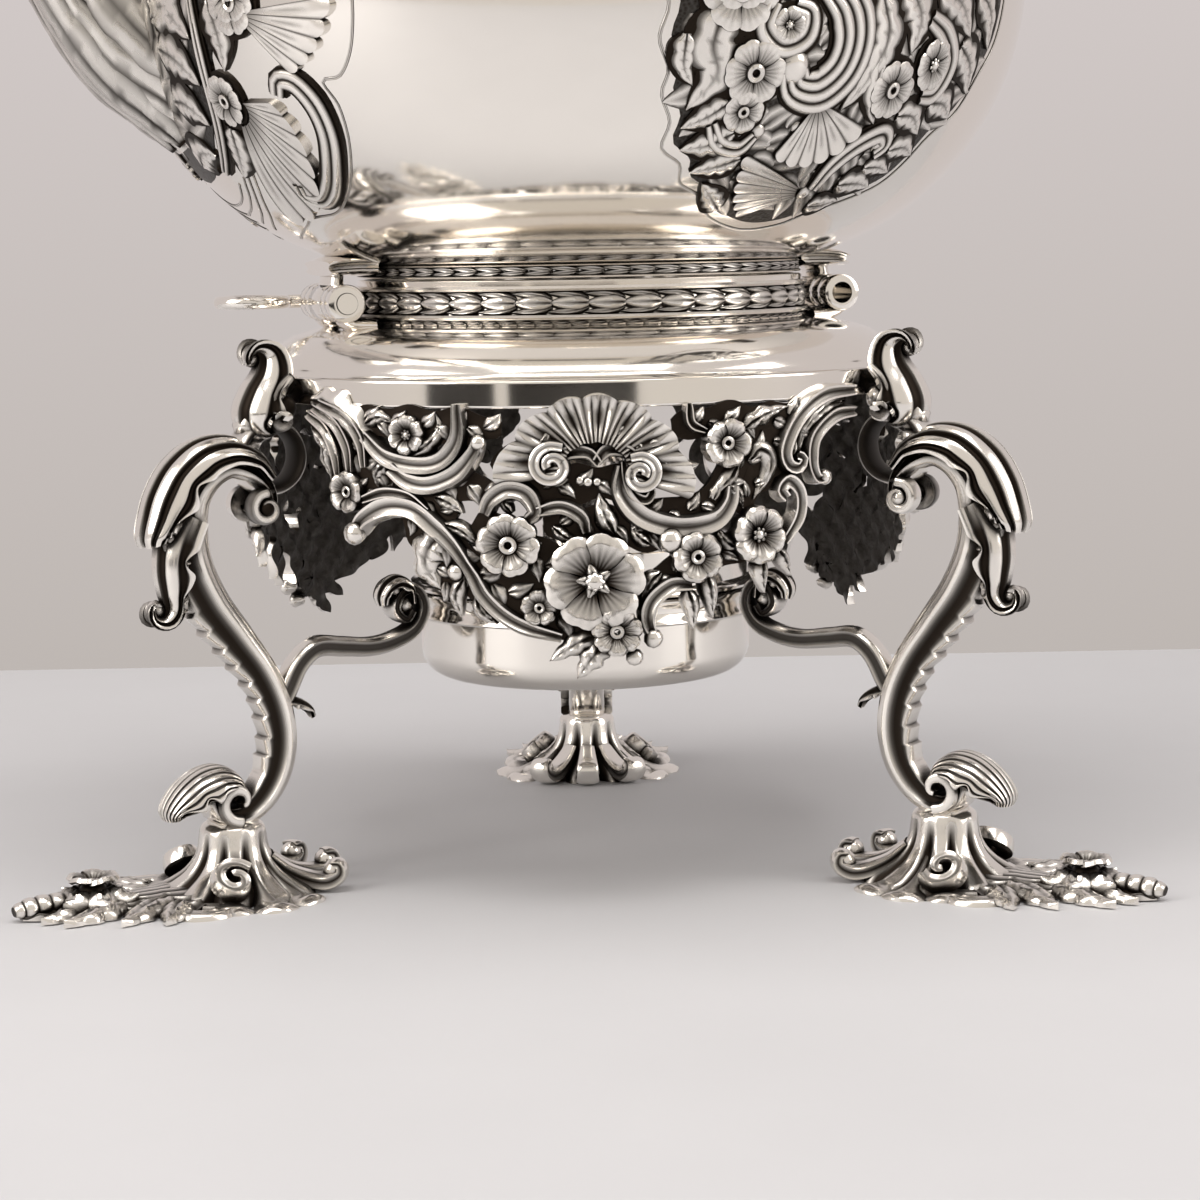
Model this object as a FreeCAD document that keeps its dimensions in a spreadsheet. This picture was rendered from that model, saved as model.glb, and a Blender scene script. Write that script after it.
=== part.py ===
"""Silver kettle that tilts on a three-legged lampstand, with a lift-out spirit burner.

Millimetres, with +Z up from the table and the photographed side at -Y. The pieces are drawn about
the stand's axis, the kettle and its hinges with the spout towards -X and then turned, and the whole
is moved so that the origin is the middle of its box on the table.
"""
import FreeCAD, Part
import math
import os
import Sketcher

SIZES = {
    # Fits
    "solder_gap": 0.05, "seat_gap": 0.35, "pin_fit": 0.05, "knuckle_gap": 0.3,
    # Stand ring
    "rim_radius": 72, "rim_level": 103, "rim_depth": 5.5, "rim_ledge": 1.2, "stand_wall": 1.4,
    "shoulder_rise": 10, "shoulder_radius": 60, "shoulder_fall": 1.4, "shoulder_bend": 12,
    "collar_radius": 49, "collar_height": 9.5,
    "laurel_height": 7, "laurel_proud": 1.6, "laurel_drop": 1.2, "laurel_edge": 0.5,
    # Aprons
    "apron_thick": 2.4, "apron_lap": 3, "apron_drop": 57.5, "apron_half": 58,
    # Legs, brackets and feet
    "leg_angle": 90, "leg_thick": 7.5, "leg_width": 9,
    "waist_radius": 76, "waist_level": 31, "waist_bend": 17, "shin_bend": 28,
    "knee_drop": 20.5, "knee_bend": 5.75, "knee_scroll": 6.4, "scroll_width": 12,
    "knee_leaf_width": 18, "knee_leaf_reach": 13, "knee_leaf_rise": 17,
    "ankle_scroll": 6, "ankle_shell_reach": 15, "ankle_shell_rise": 8, "ankle_shell_width": 16,
    "bracket_width": 9, "bracket_ring": 7, "bracket_strap": 2.4,
    "cap_leaf_rise": 5.5, "cap_leaf_reach": 8, "cap_leaf_fall": 4,
    "foot_thick": 2.6, "foot_height": 14, "foot_inner": 65, "foot_tip": 137, "foot_half": 24,
    "socket_radius": 8.5, "socket_flare": 15, "toe_boss": 7, "toe_boss_rise": 3.5, "toe_boss_place": 120,
    # Burner and what holds it
    "burner_radius": 36.8, "burner_base": 40, "burner_height": 30, "burner_corner": 6, "burner_wall": 1,
    "holder_level": 54, "holder_depth": 5.6, "holder_wall": 2, "holder_fit": 0.35,
    "bead_proud": 2.3, "bead_height": 1.4,
    "cover_rise": 3.4, "cover_thick": 1.2, "cover_lap": 0.6,
    "tube_radius": 7, "tube_wall": 1, "tube_rise": 13, "tube_depth": 22,
    "wick_fit": 0.1, "wick_show": 2, "wick_tail": 5,
    "snuffer_bore": 8.3, "snuffer_wall": 1, "snuffer_height": 18, "snuffer_dome": 4.6,
    "knob_radius": 4.2, "knob_height": 9,
    "arm_thick": 4.4, "arm_width": 6, "arm_scroll": 6, "arm_sag": 4, "arm_elbow": 64, "arm_root_rise": 8,
    # Kettle
    "kettle_angle": 16, "kettle_wall": 1.2, "kettle_foot_inset": 1.4, "kettle_foot_height": 2.8,
    "belly_offset": 36.1, "belly_bend": 61.9, "neck_radius": 44, "neck_height": 4.2,
    "foot_leaf_height": 3.4, "foot_leaf_proud": 1.5, "foot_leaf_edge": 0.5,
    "mouth_band_height": 3.6, "mouth_band_proud": 2,
    "spout_wall": 1.1, "spout_port": 11,
    # Pour and lock hinges
    "hinge_offset": 6.8, "hinge_drop": 4.6, "hinge_length": 34, "knuckle_radius": 4.1, "lug_length": 13.4,
    "lug_height": 6.2, "ear_drop": 10, "pin_radius": 2.2, "pin_overhang": 7, "pin_end": 0.4,
    "finger_ring": 7.2, "finger_wire": 1.5, "pour_ring_reach": 13.5, "lock_ring_reach": 20,
    "lock_parking": 24.5,
    # Lid
    "lid_overhang": 1.6, "lid_lip": 2, "lid_rise": 24, "bezel_depth": 4.4, "bezel_fit": 0.8,
    "finial_seat": 9, "stud_radius": 2.5, "nut_radius": 5, "nut_height": 3, "stud_spare": 2,
    "finial_stem": 3, "finial_stem_height": 7, "finial_bud": 9.5, "finial_bud_base": 10.4,
    "finial_bud_rise": 15,
    "lid_hinge_out": 3.2, "lid_hinge_up": 1.2, "lid_knuckle": 2.4, "lid_pin": 1.2,
    "lid_pin_head": 1.9, "lid_pin_head_thick": 0.8,
    "lid_hinge_length": 22, "lid_knuckle_length": 8.6, "lid_leaf_drop": 3.4,
    # Bail handle
    "bail_radius": 85, "bail_rise": 29, "bail_wire": 3.6, "grip_wire": 5.6, "grip_swell": 6.6,
    "insulator_wire": 4.6, "insulator_bead": 5.4,
    "pivot_lift": 58, "eye_radius": 6, "eye_thick": 5, "eye_gap": 0.3,
    "socket_thick": 5, "socket_eye": 4.2, "socket_depth": 22,
    "pivot_pin": 2.5, "pivot_head": 4, "pivot_head_thick": 1.6,
}
LEG_NAMES = ["rear", "left", "right"]
APRON_NAMES = ["front", "right", "left"]
QUARTER_ANGLE = 90
THIRD_ANGLE = 120
HALF_ANGLE = 180
X_AXIS = FreeCAD.Vector(1, 0, 0)
Y_AXIS = FreeCAD.Vector(0, 1, 0)
Z_AXIS = FreeCAD.Vector(0, 0, 1)

# Bail angles in degrees from the +X side: where the arm, insulator and grip meet
ARM_START_ANGLE = -17
ARM_END_ANGLE = 56
INSULATOR_END_ANGLE = 61
GRIP_SWEEP_ANGLE = 58

# Edge of an apron, as shares of its half width and of its drop, from the top left corner down
APRON_EDGE = [
    (-1, 0), (-0.98, 0.28), (-0.84, 0.56), (-0.58, 0.62), (-0.4, 0.78), (-0.1, 1), (0.1, 0.97),
    (0.28, 0.85), (0.52, 0.74), (0.7, 0.7), (0.74, 0.42), (0.86, 0.32), (1, 0.05), (1, 0),
]
# Piercings of an apron: share of half width, share of drop, share of half width as radius
APRON_HOLES = [
    (-0.46, 0.14, 0.09), (0.34, 0.14, 0.08), (0.6, 0.1, 0.05), (-0.08, 0.4, 0.065), (0.2, 0.52, 0.06),
    (-0.38, 0.36, 0.055), (0.42, 0.32, 0.055), (-0.64, 0.4, 0.055),
]
# Spout sections as shares of the belly's radius: how far out and how high from the belly's middle,
# then the tilt from upright in degrees and the section's radius as a share
SPOUT_SECTIONS = [
    (0.796, -0.23, 48, 0.173), (0.978, -0.104, 48, 0.152), (1.092, 0.038, 38, 0.123),
    (1.196, 0.237, 27, 0.1), (1.319, 0.446, 36, 0.084), (1.452, 0.607, 48, 0.078), (1.576, 0.702, 54, 0.082),
]
# Bend of the lid's dome as a share of the lid's radius
LID_BEND_SHARE = 0.945

doc = FreeCAD.newDocument("KettleOnStand")
sheet = doc.addObject("Spreadsheet::Sheet", "Sizes")
nodes = []


class Size:
    """A length that keeps its value and the spreadsheet formula that gives it."""

    def __init__(self, value, text):
        self.value = value
        self.text = text

    def __add__(self, other):
        other = size(other)
        return Size(self.value + other.value, f"({self.text} + {other.text})")

    def __sub__(self, other):
        other = size(other)
        return Size(self.value - other.value, f"({self.text} - {other.text})")

    def __mul__(self, other):
        other = size(other)
        return Size(self.value * other.value, f"({self.text} * {other.text})")

    def __truediv__(self, other):
        other = size(other)
        return Size(self.value / other.value, f"({self.text} / {other.text})")

    def __neg__(self):
        return Size(-self.value, f"(0 - {self.text})")

    def root(self):
        return Size(math.sqrt(self.value), f"sqrt({self.text})")


def size(number):
    """Wrap a plain number, or pass a Size through."""
    if isinstance(number, Size):
        return number
    return Size(number, f"({number:.6g})")


class Sheet:
    """The spreadsheet's sizes as attributes."""

    def __init__(self):
        for row, (name, number) in enumerate(SIZES.items(), start=1):
            sheet.set(f"A{row}", name)
            sheet.set(f"B{row}", str(number))
            sheet.setAlias(f"B{row}", name)
            setattr(self, name, Size(number, f"Sizes.{name}"))
        doc.recompute()


d = Sheet()


def bind(thing, prop, length):
    """Bind a property to a formula on the spreadsheet."""
    thing.setExpression(prop, size(length).text)


def place(thing, x=0, y=0, z=0, axis=Z_AXIS, angle=0):
    """Place an object by formulas, turned by an angle in degrees about an axis."""
    turn = size(angle)
    thing.Placement = FreeCAD.Placement(FreeCAD.Vector(), FreeCAD.Rotation(axis, turn.value))
    for letter, length in zip("xyz", (x, y, z)):
        if size(length).value != 0:
            bind(thing, f"Placement.Base.{letter}", length)
    if isinstance(angle, Size):
        bind(thing, "Placement.Rotation.Angle", angle)
    return thing


def node(thing, name):
    """Name a finished sub-part."""
    thing.Label = name
    nodes.append(thing)
    return thing


def arc_between(start, end, radius, left):
    """Short arc between two points, its centre on the left or the right of the way."""
    across = end - start
    half = across.Length / 2
    normal = FreeCAD.Vector(-across.y, across.x, 0).normalize()
    reach = math.sqrt(radius ** 2 - half ** 2)
    centre = (start + end) / 2 + normal * (reach if left else -reach)
    first, last = (start, end) if left else (end, start)
    angles = [math.atan2(point.y - centre.y, point.x - centre.x) for point in (first, last)]
    return Part.ArcOfCircle(Part.Circle(centre, FreeCAD.Vector(0, 0, 1), radius), *angles)


def line_to(x, y):
    return x, y, None, False


def arc_to(x, y, radius, left):
    return x, y, radius, left


def draw(sketch, outline):
    """Draw a closed outline of lines and arcs, each corner and radius bound to the spreadsheet.

    Each entry is a corner and the edge that leads to it; the first entry's edge closes the outline.
    """
    corners = [FreeCAD.Vector(size(x).value, size(y).value, 0) for x, y, _, _ in outline]
    first_edge = sketch.GeometryCount
    starts = []
    ends = []
    for index, (_, _, radius, left) in enumerate(outline):
        start, end = corners[index - 1], corners[index]
        if radius is None:
            edge = sketch.addGeometry(Part.LineSegment(start, end))
            starts.append((edge, 1))
            ends.append((edge, 2))
        else:
            edge = sketch.addGeometry(arc_between(start, end, size(radius).value, left))
            starts.append((edge, 1 if left else 2))
            ends.append((edge, 2 if left else 1))
            limit = sketch.addConstraint(Sketcher.Constraint("Radius", edge, size(radius).value))
            bind(sketch, f"Constraints[{limit}]", radius)
    for index, (x, y, _, _) in enumerate(outline):
        following = starts[(index + 1) % len(outline)]
        sketch.addConstraint(Sketcher.Constraint("Coincident", *ends[index], *following))
        for kind, length, axis in (("DistanceX", x, -2), ("DistanceY", y, -1)):
            if size(length).value == 0:
                sketch.addConstraint(Sketcher.Constraint("PointOnObject", *ends[index], axis))
            else:
                limit = sketch.addConstraint(
                    Sketcher.Constraint(kind, -1, 1, *ends[index], size(length).value))
                bind(sketch, f"Constraints[{limit}]", length)
    return first_edge


def draw_circle(sketch, x, y, radius):
    """Draw a circle whose centre and radius are bound to the spreadsheet."""
    centre = FreeCAD.Vector(size(x).value, size(y).value, 0)
    edge = sketch.addGeometry(Part.Circle(centre, FreeCAD.Vector(0, 0, 1), size(radius).value))
    for kind, length in (("DistanceX", x), ("DistanceY", y)):
        limit = sketch.addConstraint(Sketcher.Constraint(kind, -1, 1, edge, 3, size(length).value))
        bind(sketch, f"Constraints[{limit}]", length)
    limit = sketch.addConstraint(Sketcher.Constraint("Radius", edge, size(radius).value))
    bind(sketch, f"Constraints[{limit}]", radius)


def new_sketch(name, plane):
    """Make a body and an empty sketch on one of its origin planes."""
    body = doc.addObject("PartDesign::Body", name)
    sketch = body.newObject("Sketcher::SketchObject", name + "_sketch")
    support = [feature for feature in body.Origin.OriginFeatures if feature.Role == plane][0]
    sketch.AttachmentSupport = [(support, "")]
    sketch.MapMode = "FlatFace"
    return body, sketch


def revolve(name, outline):
    """Body turned about the Z axis from an outline in radius and height."""
    body, sketch = new_sketch(name, "XZ_Plane")
    draw(sketch, outline)
    turned = body.newObject("PartDesign::Revolution", name + "_turned")
    turned.Profile = sketch
    turned.ReferenceAxis = (sketch, ["V_Axis"])
    turned.Angle = 360
    return body


def plate(name, outline, width, plane="XZ_Plane", holes=(), symmetric=True):
    """Body cut from plate: an outline with round holes, of a given width."""
    body, sketch = new_sketch(name, plane)
    draw(sketch, outline)
    for hole in holes:
        draw_circle(sketch, *hole)
    pad = body.newObject("PartDesign::Pad", name + "_pad")
    pad.Profile = sketch
    pad.SideType = "Symmetric" if symmetric else "One side"
    bind(pad, "Length", width)
    return body


def box(name, x, y, z):
    """Box between pairs of x, y and z."""
    solid = doc.addObject("Part::Box", name)
    for prop, (low, high) in zip(("Length", "Width", "Height"), (x, y, z)):
        bind(solid, prop, size(high) - low)
    return place(solid, x[0], y[0], z[0])


def cylinder(name, radius, length):
    """Cylinder standing on the origin."""
    solid = doc.addObject("Part::Cylinder", name)
    bind(solid, "Radius", radius)
    bind(solid, "Height", length)
    return solid


def cylinder_x(name, radius, x, y, z):
    """Cylinder along X between a pair of x."""
    solid = cylinder(name, radius, size(x[1]) - x[0])
    return place(solid, x[0], y, z, Y_AXIS, QUARTER_ANGLE)


def cylinder_y(name, radius, x, y, z):
    """Cylinder along Y between a pair of y."""
    solid = cylinder(name, radius, size(y[1]) - y[0])
    return place(solid, x, y[0], z, X_AXIS, -QUARTER_ANGLE)


def cylinder_z(name, radius, z):
    """Cylinder along Z between a pair of z, on the axis."""
    solid = cylinder(name, radius, size(z[1]) - z[0])
    return place(solid, 0, 0, z[0])


def cut(name, base, *tools):
    """Base with each tool cut away."""
    for count, tool in enumerate(tools, start=1):
        result = doc.addObject("Part::Cut", f"{name}_cut_{count}")
        result.Base = base
        result.Tool = tool
        base = result
    return base


def fuse(name, *shapes):
    """Shapes joined into one solid."""
    result = doc.addObject("Part::MultiFuse", name + "_fused")
    result.Shapes = list(shapes)
    result.Refine = True
    return result


def turn_to(thing, angle):
    """Turn a finished sub-part about the stand's axis."""
    return place(thing, 0, 0, 0, Z_AXIS, angle)


def on_circle(centre_x, centre_y, radius, degrees):
    """Point on a circle, as two formulas."""
    angle = math.radians(degrees)
    return size(centre_x) + size(radius) * math.cos(angle), size(centre_y) + size(radius) * math.sin(angle)


def dome_bend(rise, radius):
    """Radius of the ball whose cap has this rise and base radius."""
    return (rise * rise + radius * radius) / (rise * 2)


def bulged_band(name, radius, low, height, edge, proud):
    """Ring with a rounded outer face, such as a leaf band."""
    sag = proud - edge
    bend = height * height / (sag * 8) + sag / 2
    return revolve(name, [
        line_to(radius, low), line_to(radius + edge, low),
        arc_to(radius + edge, low + height, bend, True), line_to(radius, low + height)])


# Levels and radii that several pieces share
rim_top = d.rim_level + d.rim_depth
collar_low = rim_top + d.shoulder_rise
collar_top = collar_low + d.collar_height
laurel_low = collar_top - d.laurel_drop - d.laurel_height
laurel_radius = d.collar_radius + d.solder_gap + d.laurel_proud
kettle_base = collar_top + d.seat_gap
kettle_foot_radius = d.collar_radius - d.kettle_foot_inset
belly_radius = d.belly_offset + d.belly_bend
foot_band_radius = kettle_foot_radius + d.solder_gap + d.foot_leaf_proud
belly_level = kettle_base + d.kettle_foot_height + (
    d.belly_bend * d.belly_bend
    - (kettle_foot_radius - d.belly_offset) * (kettle_foot_radius - d.belly_offset)).root()
neck_low = belly_level + (
    d.belly_bend * d.belly_bend
    - (d.neck_radius - d.belly_offset) * (d.neck_radius - d.belly_offset)).root()
mouth_level = neck_low + d.neck_height
mouth_band_radius = d.neck_radius + d.solder_gap + d.mouth_band_proud
hinge_radius = d.collar_radius + d.hinge_offset
hinge_level = collar_top - d.hinge_drop
holder_radius = d.burner_radius + d.holder_fit + d.holder_wall
holder_top = d.holder_level + d.holder_depth
lid_level = mouth_level + d.seat_gap
lid_radius = d.neck_radius + d.lid_overhang
lid_bend = lid_radius * LID_BEND_SHARE
pivot_level = belly_level + d.pivot_lift
bail_level = pivot_level + d.bail_rise
eye_place = (d.bail_radius * d.bail_radius - d.bail_rise * d.bail_rise).root()


def stand_outline():
    """Outer edge of the stand ring, from the collar's top down to the rim."""
    shoulder_level = collar_low - d.shoulder_fall
    return [
        line_to(d.collar_radius, collar_top), line_to(d.collar_radius, collar_low),
        line_to(d.shoulder_radius, shoulder_level),
        arc_to(d.rim_radius - d.rim_ledge, rim_top, d.shoulder_bend, False),
        line_to(d.rim_radius, rim_top), line_to(d.rim_radius, d.rim_level)]


def make_stand_ring():
    """Collar, shoulder and rim raised from one sheet, with the laurel band soldered on."""
    wall = d.stand_wall
    inside = [
        line_to(d.rim_radius - wall, d.rim_level), line_to(d.rim_radius - wall, rim_top - wall),
        arc_to(d.shoulder_radius, collar_low - d.shoulder_fall - wall, d.shoulder_bend, True),
        line_to(d.collar_radius - wall, collar_low - wall), line_to(d.collar_radius - wall, collar_top)]
    node(revolve("stand_ring", stand_outline() + inside), "stand_ring")
    node(bulged_band("laurel", d.collar_radius + d.solder_gap, laurel_low, d.laurel_height,
                     d.laurel_edge, d.laurel_proud), "stand_laurel_band")


def make_stand_core():
    """Solid that fills the stand ring out to the laurel band, to fit the hinge ears against."""
    core = revolve("stand_core", stand_outline() + [line_to(0, d.rim_level), line_to(0, collar_top)])
    sleeve = cylinder_z("laurel_sleeve", laurel_radius + d.solder_gap, (laurel_low, collar_top))
    return fuse("stand_core", core, sleeve)


def make_apron(index):
    """Pierced panel bent to the rim and soldered to its outside."""
    name = APRON_NAMES[index]
    top = d.rim_level + d.apron_lap
    outline = [line_to(d.apron_half * x, top - d.apron_drop * z) for x, z in APRON_EDGE]
    holes = [(d.apron_half * x, top - d.apron_drop * z, d.apron_half * radius)
             for x, z, radius in APRON_HOLES]
    inner = d.rim_radius + d.solder_gap
    panel = plate(f"apron_panel_{name}", outline, inner + d.apron_thick, holes=holes, symmetric=False)
    levels = (top - d.apron_drop * 2, top + d.apron_lap)
    outer_drum = cylinder_z(f"apron_outer_{name}", inner + d.apron_thick, levels)
    inner_drum = cylinder_z(f"apron_inner_{name}", inner, levels)
    bent = doc.addObject("Part::Common", f"apron_bent_{name}")
    bent.Base = panel
    bent.Tool = cut(f"apron_shell_{name}", outer_drum, inner_drum)
    node(turn_to(bent, d.leg_angle + (index * THIRD_ANGLE - QUARTER_ANGLE)), f"apron_{name}")


def stem_outline():
    """S-shaped stem of a leg in radius and height: waist, shin, straight and knee, out and back."""
    half = d.leg_thick / 2
    waist_x = d.waist_radius + d.waist_bend
    waist_top = 130
    waist_end = 238
    lean = math.radians(waist_top)
    shin_x = waist_x + (d.waist_bend + d.shin_bend) * math.cos(lean)
    shin_z = d.waist_level + (d.waist_bend + d.shin_bend) * math.sin(lean)
    stem_x = shin_x + d.shin_bend
    knee_x = stem_x - d.knee_bend
    knee_level = d.rim_level - d.knee_drop
    outer = d.waist_bend + half
    inner = d.waist_bend - half
    return [
        line_to(*on_circle(waist_x, d.waist_level, outer, waist_end)),
        arc_to(*on_circle(waist_x, d.waist_level, outer, waist_top), outer, False),
        arc_to(shin_x + d.shin_bend - half, shin_z, d.shin_bend - half, True),
        line_to(stem_x - half, knee_level),
        arc_to(knee_x, knee_level + d.knee_bend - half, d.knee_bend - half, True),
        arc_to(knee_x - d.knee_bend + half, knee_level, d.knee_bend - half, True),
        line_to(knee_x - d.knee_bend - half, knee_level),
        arc_to(knee_x, knee_level + d.knee_bend + half, d.knee_bend + half, False),
        arc_to(stem_x + half, knee_level, d.knee_bend + half, False),
        line_to(stem_x + half, shin_z),
        arc_to(*on_circle(waist_x, d.waist_level, inner, waist_top), d.shin_bend + half, False),
        arc_to(*on_circle(waist_x, d.waist_level, inner, waist_end), inner, True),
    ], stem_x, knee_level


def make_leg(index):
    """Cast leg: S-shaped stem, leaf over the knee, scrolls at knee and ankle, shell on the ankle."""
    name = LEG_NAMES[index]
    outline, stem_x, knee_level = stem_outline()
    stem = plate(f"stem_{name}", outline, d.leg_width)
    half_scroll = d.scroll_width / 2
    knee_eye = cylinder_y(f"knee_scroll_{name}", d.knee_scroll, stem_x - d.knee_bend * 2,
                          (-half_scroll, half_scroll), knee_level)
    ankle_x = d.waist_radius + d.waist_bend * 0.65
    ankle_z = d.foot_height + d.ankle_scroll
    ankle_eye = cylinder_y(f"ankle_scroll_{name}", d.ankle_scroll, ankle_x,
                           (-half_scroll, half_scroll), ankle_z)
    reach = d.knee_leaf_reach
    rise = d.knee_leaf_rise
    leaf = plate(f"knee_leaf_{name}", [
        line_to(stem_x - d.knee_bend * 2, knee_level + d.knee_bend),
        arc_to(stem_x - d.leg_thick * 0.2, knee_level + rise, reach, False),
        arc_to(stem_x + reach, knee_level - rise * 0.1, reach * 1.2, False),
        line_to(stem_x + reach * 0.8, knee_level - rise * 0.5),
        line_to(stem_x + reach * 0.4, knee_level - rise * 0.75),
        line_to(stem_x + reach * 0.85, knee_level - rise * 1.1),
        line_to(stem_x + reach * 0.55, knee_level - rise * 1.35),
        line_to(stem_x, knee_level - rise * 1.4),
        line_to(stem_x, knee_level)], d.knee_leaf_width)
    shell = plate(f"ankle_shell_{name}", [
        line_to(ankle_x, ankle_z - d.ankle_scroll * 0.6),
        line_to(ankle_x + d.ankle_shell_reach, ankle_z - d.ankle_scroll * 0.5),
        arc_to(ankle_x, ankle_z + d.ankle_shell_rise, d.ankle_shell_reach, True)], d.ankle_shell_width)
    leg = fuse(f"leg_{name}", stem, knee_eye, ankle_eye, leaf, shell)
    return node(turn_to(leg, d.leg_angle + index * THIRD_ANGLE), f"leg_{name}")


def make_bracket(index, leg):
    """Ring-shaped strap and leaf cap that tie a leg's knee to the rim."""
    name = LEG_NAMES[index]
    inner = d.rim_radius + d.solder_gap
    ring_x = inner + d.bracket_ring - d.bracket_strap
    ring_z = d.rim_level - d.bracket_ring - d.cap_leaf_fall
    half = d.bracket_width / 2
    hoop = cylinder_y(f"bracket_hoop_{name}", d.bracket_ring, ring_x, (-half, half), ring_z)
    eye = cylinder_y(f"bracket_eye_{name}", d.bracket_ring - d.bracket_strap, ring_x,
                     (-d.bracket_width, d.bracket_width), ring_z)
    cap = plate(f"bracket_cap_{name}", [
        line_to(inner, d.rim_level - d.cap_leaf_fall * 1.6),
        line_to(inner, rim_top - d.solder_gap),
        arc_to(inner + d.cap_leaf_reach * 0.7, rim_top + d.cap_leaf_rise, d.cap_leaf_reach * 1.2, False),
        arc_to(inner + d.cap_leaf_reach, rim_top - d.cap_leaf_rise, d.cap_leaf_reach * 0.8, False),
        line_to(inner + d.cap_leaf_reach * 0.8, d.rim_level - d.cap_leaf_fall * 1.6)], d.bracket_width)
    bracket = fuse(f"bracket_{name}", cut(f"bracket_ring_{name}", hoop, eye), cap)
    turn_to(bracket, d.leg_angle + index * THIRD_ANGLE)
    trimmed = cut(f"bracket_trim_{name}", bracket, leg)
    node(trimmed, f"knee_bracket_{name}")


def make_foot(index):
    """Flat scalloped sole with a flared socket for the leg and a boss for the toe flower."""
    name = LEG_NAMES[index]
    centre = d.waist_radius + d.waist_bend * 0.65
    half = d.foot_half
    sole = plate(f"sole_{name}", [
        line_to(d.foot_inner, half * -0.4),
        arc_to(centre - half * 0.5, -half, half, True), line_to(centre + half * 0.5, -half),
        arc_to(d.toe_boss_place - half * 0.4, half * -0.5, half, True),
        line_to(d.toe_boss_place + half * 0.3, half * -0.35),
        arc_to(d.foot_tip, 0, half * 1.5, True),
        arc_to(d.toe_boss_place + half * 0.3, half * 0.35, half * 1.5, True),
        line_to(d.toe_boss_place - half * 0.4, half * 0.5),
        arc_to(centre + half * 0.5, half, half, True), line_to(centre - half * 0.5, half),
        arc_to(d.foot_inner, half * 0.4, half, True)], d.foot_thick, plane="XY_Plane", symmetric=False)
    socket = doc.addObject("Part::Cone", f"socket_{name}")
    bind(socket, "Radius1", d.socket_flare)
    bind(socket, "Radius2", d.socket_radius)
    bind(socket, "Height", d.foot_height - d.foot_thick - d.solder_gap)
    place(socket, centre, 0, d.foot_thick)
    boss = doc.addObject("Part::Cone", f"toe_boss_{name}")
    bind(boss, "Radius1", d.toe_boss)
    bind(boss, "Radius2", d.toe_boss * 0.5)
    bind(boss, "Height", d.toe_boss_rise)
    place(boss, d.toe_boss_place, 0, d.foot_thick)
    foot = fuse(f"foot_{name}", sole, socket, boss)
    node(turn_to(foot, d.leg_angle + index * THIRD_ANGLE), f"foot_{name}")


def make_burner_arm(index, leg):
    """Branch from a leg's waist, flat under the holder ring and scrolled up against it."""
    name = LEG_NAMES[index]
    half = d.arm_thick / 2
    scroll_x = holder_radius + d.solder_gap + d.arm_scroll
    scroll_z = d.holder_level + d.holder_depth / 2
    low = d.holder_level - d.arm_sag
    root_x = d.waist_radius + d.leg_thick * 0.1
    root_z = d.waist_level + d.arm_root_rise
    branch = plate(f"arm_branch_{name}", [
        line_to(root_x, root_z - half), line_to(root_x, root_z + half),
        line_to(d.arm_elbow, low + half), line_to(scroll_x, low + half),
        line_to(scroll_x, low - half), line_to(d.arm_elbow - half, low - half)], d.arm_width)
    scroll = cylinder_y(f"arm_scroll_{name}", d.arm_scroll, scroll_x,
                        (d.arm_width * -0.5, d.arm_width / 2), scroll_z)
    arm = fuse(f"arm_{name}", branch, scroll)
    turn_to(arm, d.leg_angle + index * THIRD_ANGLE)
    node(cut(f"arm_trim_{name}", arm, leg), f"burner_arm_{name}")


def make_burner_holder():
    """Ring on the arms that the burner drops into."""
    inner = d.burner_radius + d.holder_fit
    node(revolve("burner_holder", [
        line_to(inner, d.holder_level), line_to(holder_radius, d.holder_level),
        line_to(holder_radius, holder_top), line_to(inner, holder_top)]), "burner_holder")


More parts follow.
